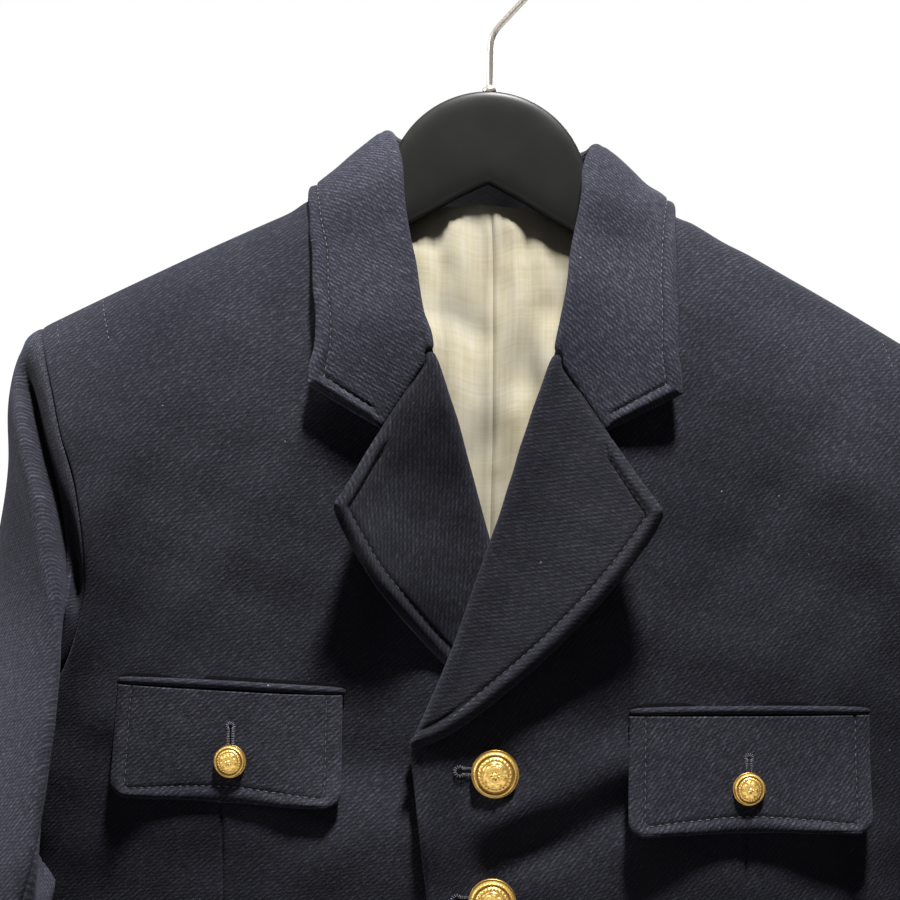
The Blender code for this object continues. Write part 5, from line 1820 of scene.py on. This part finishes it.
def all_stitching(lines):
    """The topstitching, the threads and slits of the buttonholes, and the tacks."""
    stitches, threads = stitch_tree(), thread_tree()
    hole_threads, slit_points, slit_faces = [], [], []
    for hole in HOLES:
        round_it, slit = keyhole(*hole)
        hole_threads += round_it
        slit_faces.append(tuple(range(len(slit_points), len(slit_points) + len(slit))))
        slit_points += list(slit)
    tacks = []
    for x0, z0, x1, z1 in TACKS:
        share = np.linspace(0, 1, 9)
        x, z = x0 + (x1 - x0) * share, z0 + (z1 - z0) * share
        tacks.append(hung(on_front(math.copysign(1, x0), x, z, 0.15 + 0 * x)))
    pieces = [
        grown("topstitching", lines, stitches, NAVY_THREAD, Pitch=3.6, Length=2.1, Thick=0.21),
        grown("buttonhole_stitches", hole_threads, threads, GREY_TWIST, Thick=0.17),
        grown("tacking_stitches", tacks, stitches, NAVY_THREAD, Pitch=3.1, Length=1.6, Thick=0.2),
        # The slits are dark sheets painted as the shade inside each buttonhole.
        mesh_piece("buttonhole_slits_painted_shade", slit_points, slit_faces, SHADE),
    ]
    for piece in pieces:
        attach(piece, "root")


stitch_lines = []
for side, hand in HANDS:
    stitch_lines += body_and_lapel(side, hand)
stitch_lines += whole_collar()
for row, hand in POCKET_HANDS:
    stitch_lines += pocket(row, hand)
front_buttons()
all_stitching(stitch_lines)
settle(hanger_mesh(), ["hanger_body"])
settle(hook_mesh(), ["hanger_hook"])


# ---- floor, light and camera ----

# The photo's view, in metres: nearly level and straight ahead, and rolled a little.
CAMERA_LENS = 79.92
CAMERA_AWAY = 0.950
CAMERA_SWING = math.radians(1.0)
CAMERA_ROLL = math.radians(1.3)
CAMERA_TARGET = Vector((-0.020, 0.0, -0.2544))
FLOOR_HALF = 4.0
FLOOR_LEVEL = -1.05
LIT_POINT = Vector((0, -0.05, -0.3))   # what every light faces


def floor():
    """A plain pale floor that throws no light back up at the cloth."""
    mesh = bpy.data.meshes.new("pale_floor")
    corners = [(x * FLOOR_HALF, y * FLOOR_HALF, FLOOR_LEVEL) for x, y in ((-1, -1), (1, -1), (1, 1), (-1, 1))]
    mesh.from_pydata(corners, [], [(0, 1, 2, 3)])
    mesh.materials.append(matt_paint("pale_floor_paint", "#dcdcda", "#e6e6e4"))
    made = bpy.data.objects.new("pale_floor", mesh)
    bpy.context.scene.collection.objects.link(made)
    made.visible_diffuse = False


def area_light(name, towards, away, size, power):
    """A round soft light, this far off in that direction."""
    data = bpy.data.lights.new(name, "AREA")
    data.shape = "DISK"
    data.size = size
    data.energy = power
    made = bpy.data.objects.new(name, data)
    way = Vector(towards).normalized()
    made.location = LIT_POINT + way * away
    made.rotation_euler = way.to_track_quat("Z", "Y").to_euler()
    bpy.context.scene.collection.objects.link(made)


def world():
    """White all round for the camera, and a soft even light for everything else."""
    made = bpy.data.worlds.new("white studio")
    bpy.context.scene.world = made
    made.use_nodes = True
    tree = made.node_tree
    tree.nodes.clear()
    seen = add(tree, "ShaderNodeLightPath").outputs["Is Camera Ray"]
    soft = add(tree, "ShaderNodeBackground", {"Color": linear("#f4f6fb"), "Strength": 0.06}).outputs[0]
    white = add(tree, "ShaderNodeBackground", {"Color": (1, 1, 1, 1), "Strength": 1.0}).outputs[0]
    both = add(tree, "ShaderNodeMixShader", {0: seen, 1: soft, 2: white}).outputs[0]
    add(tree, "ShaderNodeOutputWorld", {0: both})


def camera():
    """The camera, so far back from its target, with the photo's small swing and roll."""
    data = bpy.data.cameras.new("camera")
    data.lens = CAMERA_LENS
    data.sensor_width = 36.0
    data.clip_start = 0.05
    made = bpy.data.objects.new("camera", data)
    back = Vector((math.sin(CAMERA_SWING), -math.cos(CAMERA_SWING), 0))
    right = Vector((math.cos(CAMERA_SWING), math.sin(CAMERA_SWING), 0))
    up = Vector((0, 0, 1))
    cos, sin = math.cos(CAMERA_ROLL), math.sin(CAMERA_ROLL)
    right, up = right * cos + up * sin, up * cos - right * sin
    turn = Matrix((right, up, back)).transposed()
    made.matrix_world = Matrix.Translation(CAMERA_TARGET + back * CAMERA_AWAY) @ turn.to_4x4()
    bpy.context.scene.collection.objects.link(made)
    bpy.context.scene.camera = made


floor()
area_light("key light", (2.8, -7.0, 27), 2.4, 0.28, 240)
area_light("front fill", (-6, -20, 6), 3.0, 1.8, 1.5)
area_light("side fill", (-26, -1.5, 8), 3.0, 1.0, 100)
area_light("back fill", (6, 20, 9), 3.0, 1.6, 60)
world()
camera()
bpy.context.scene.view_settings.view_transform = "Standard"
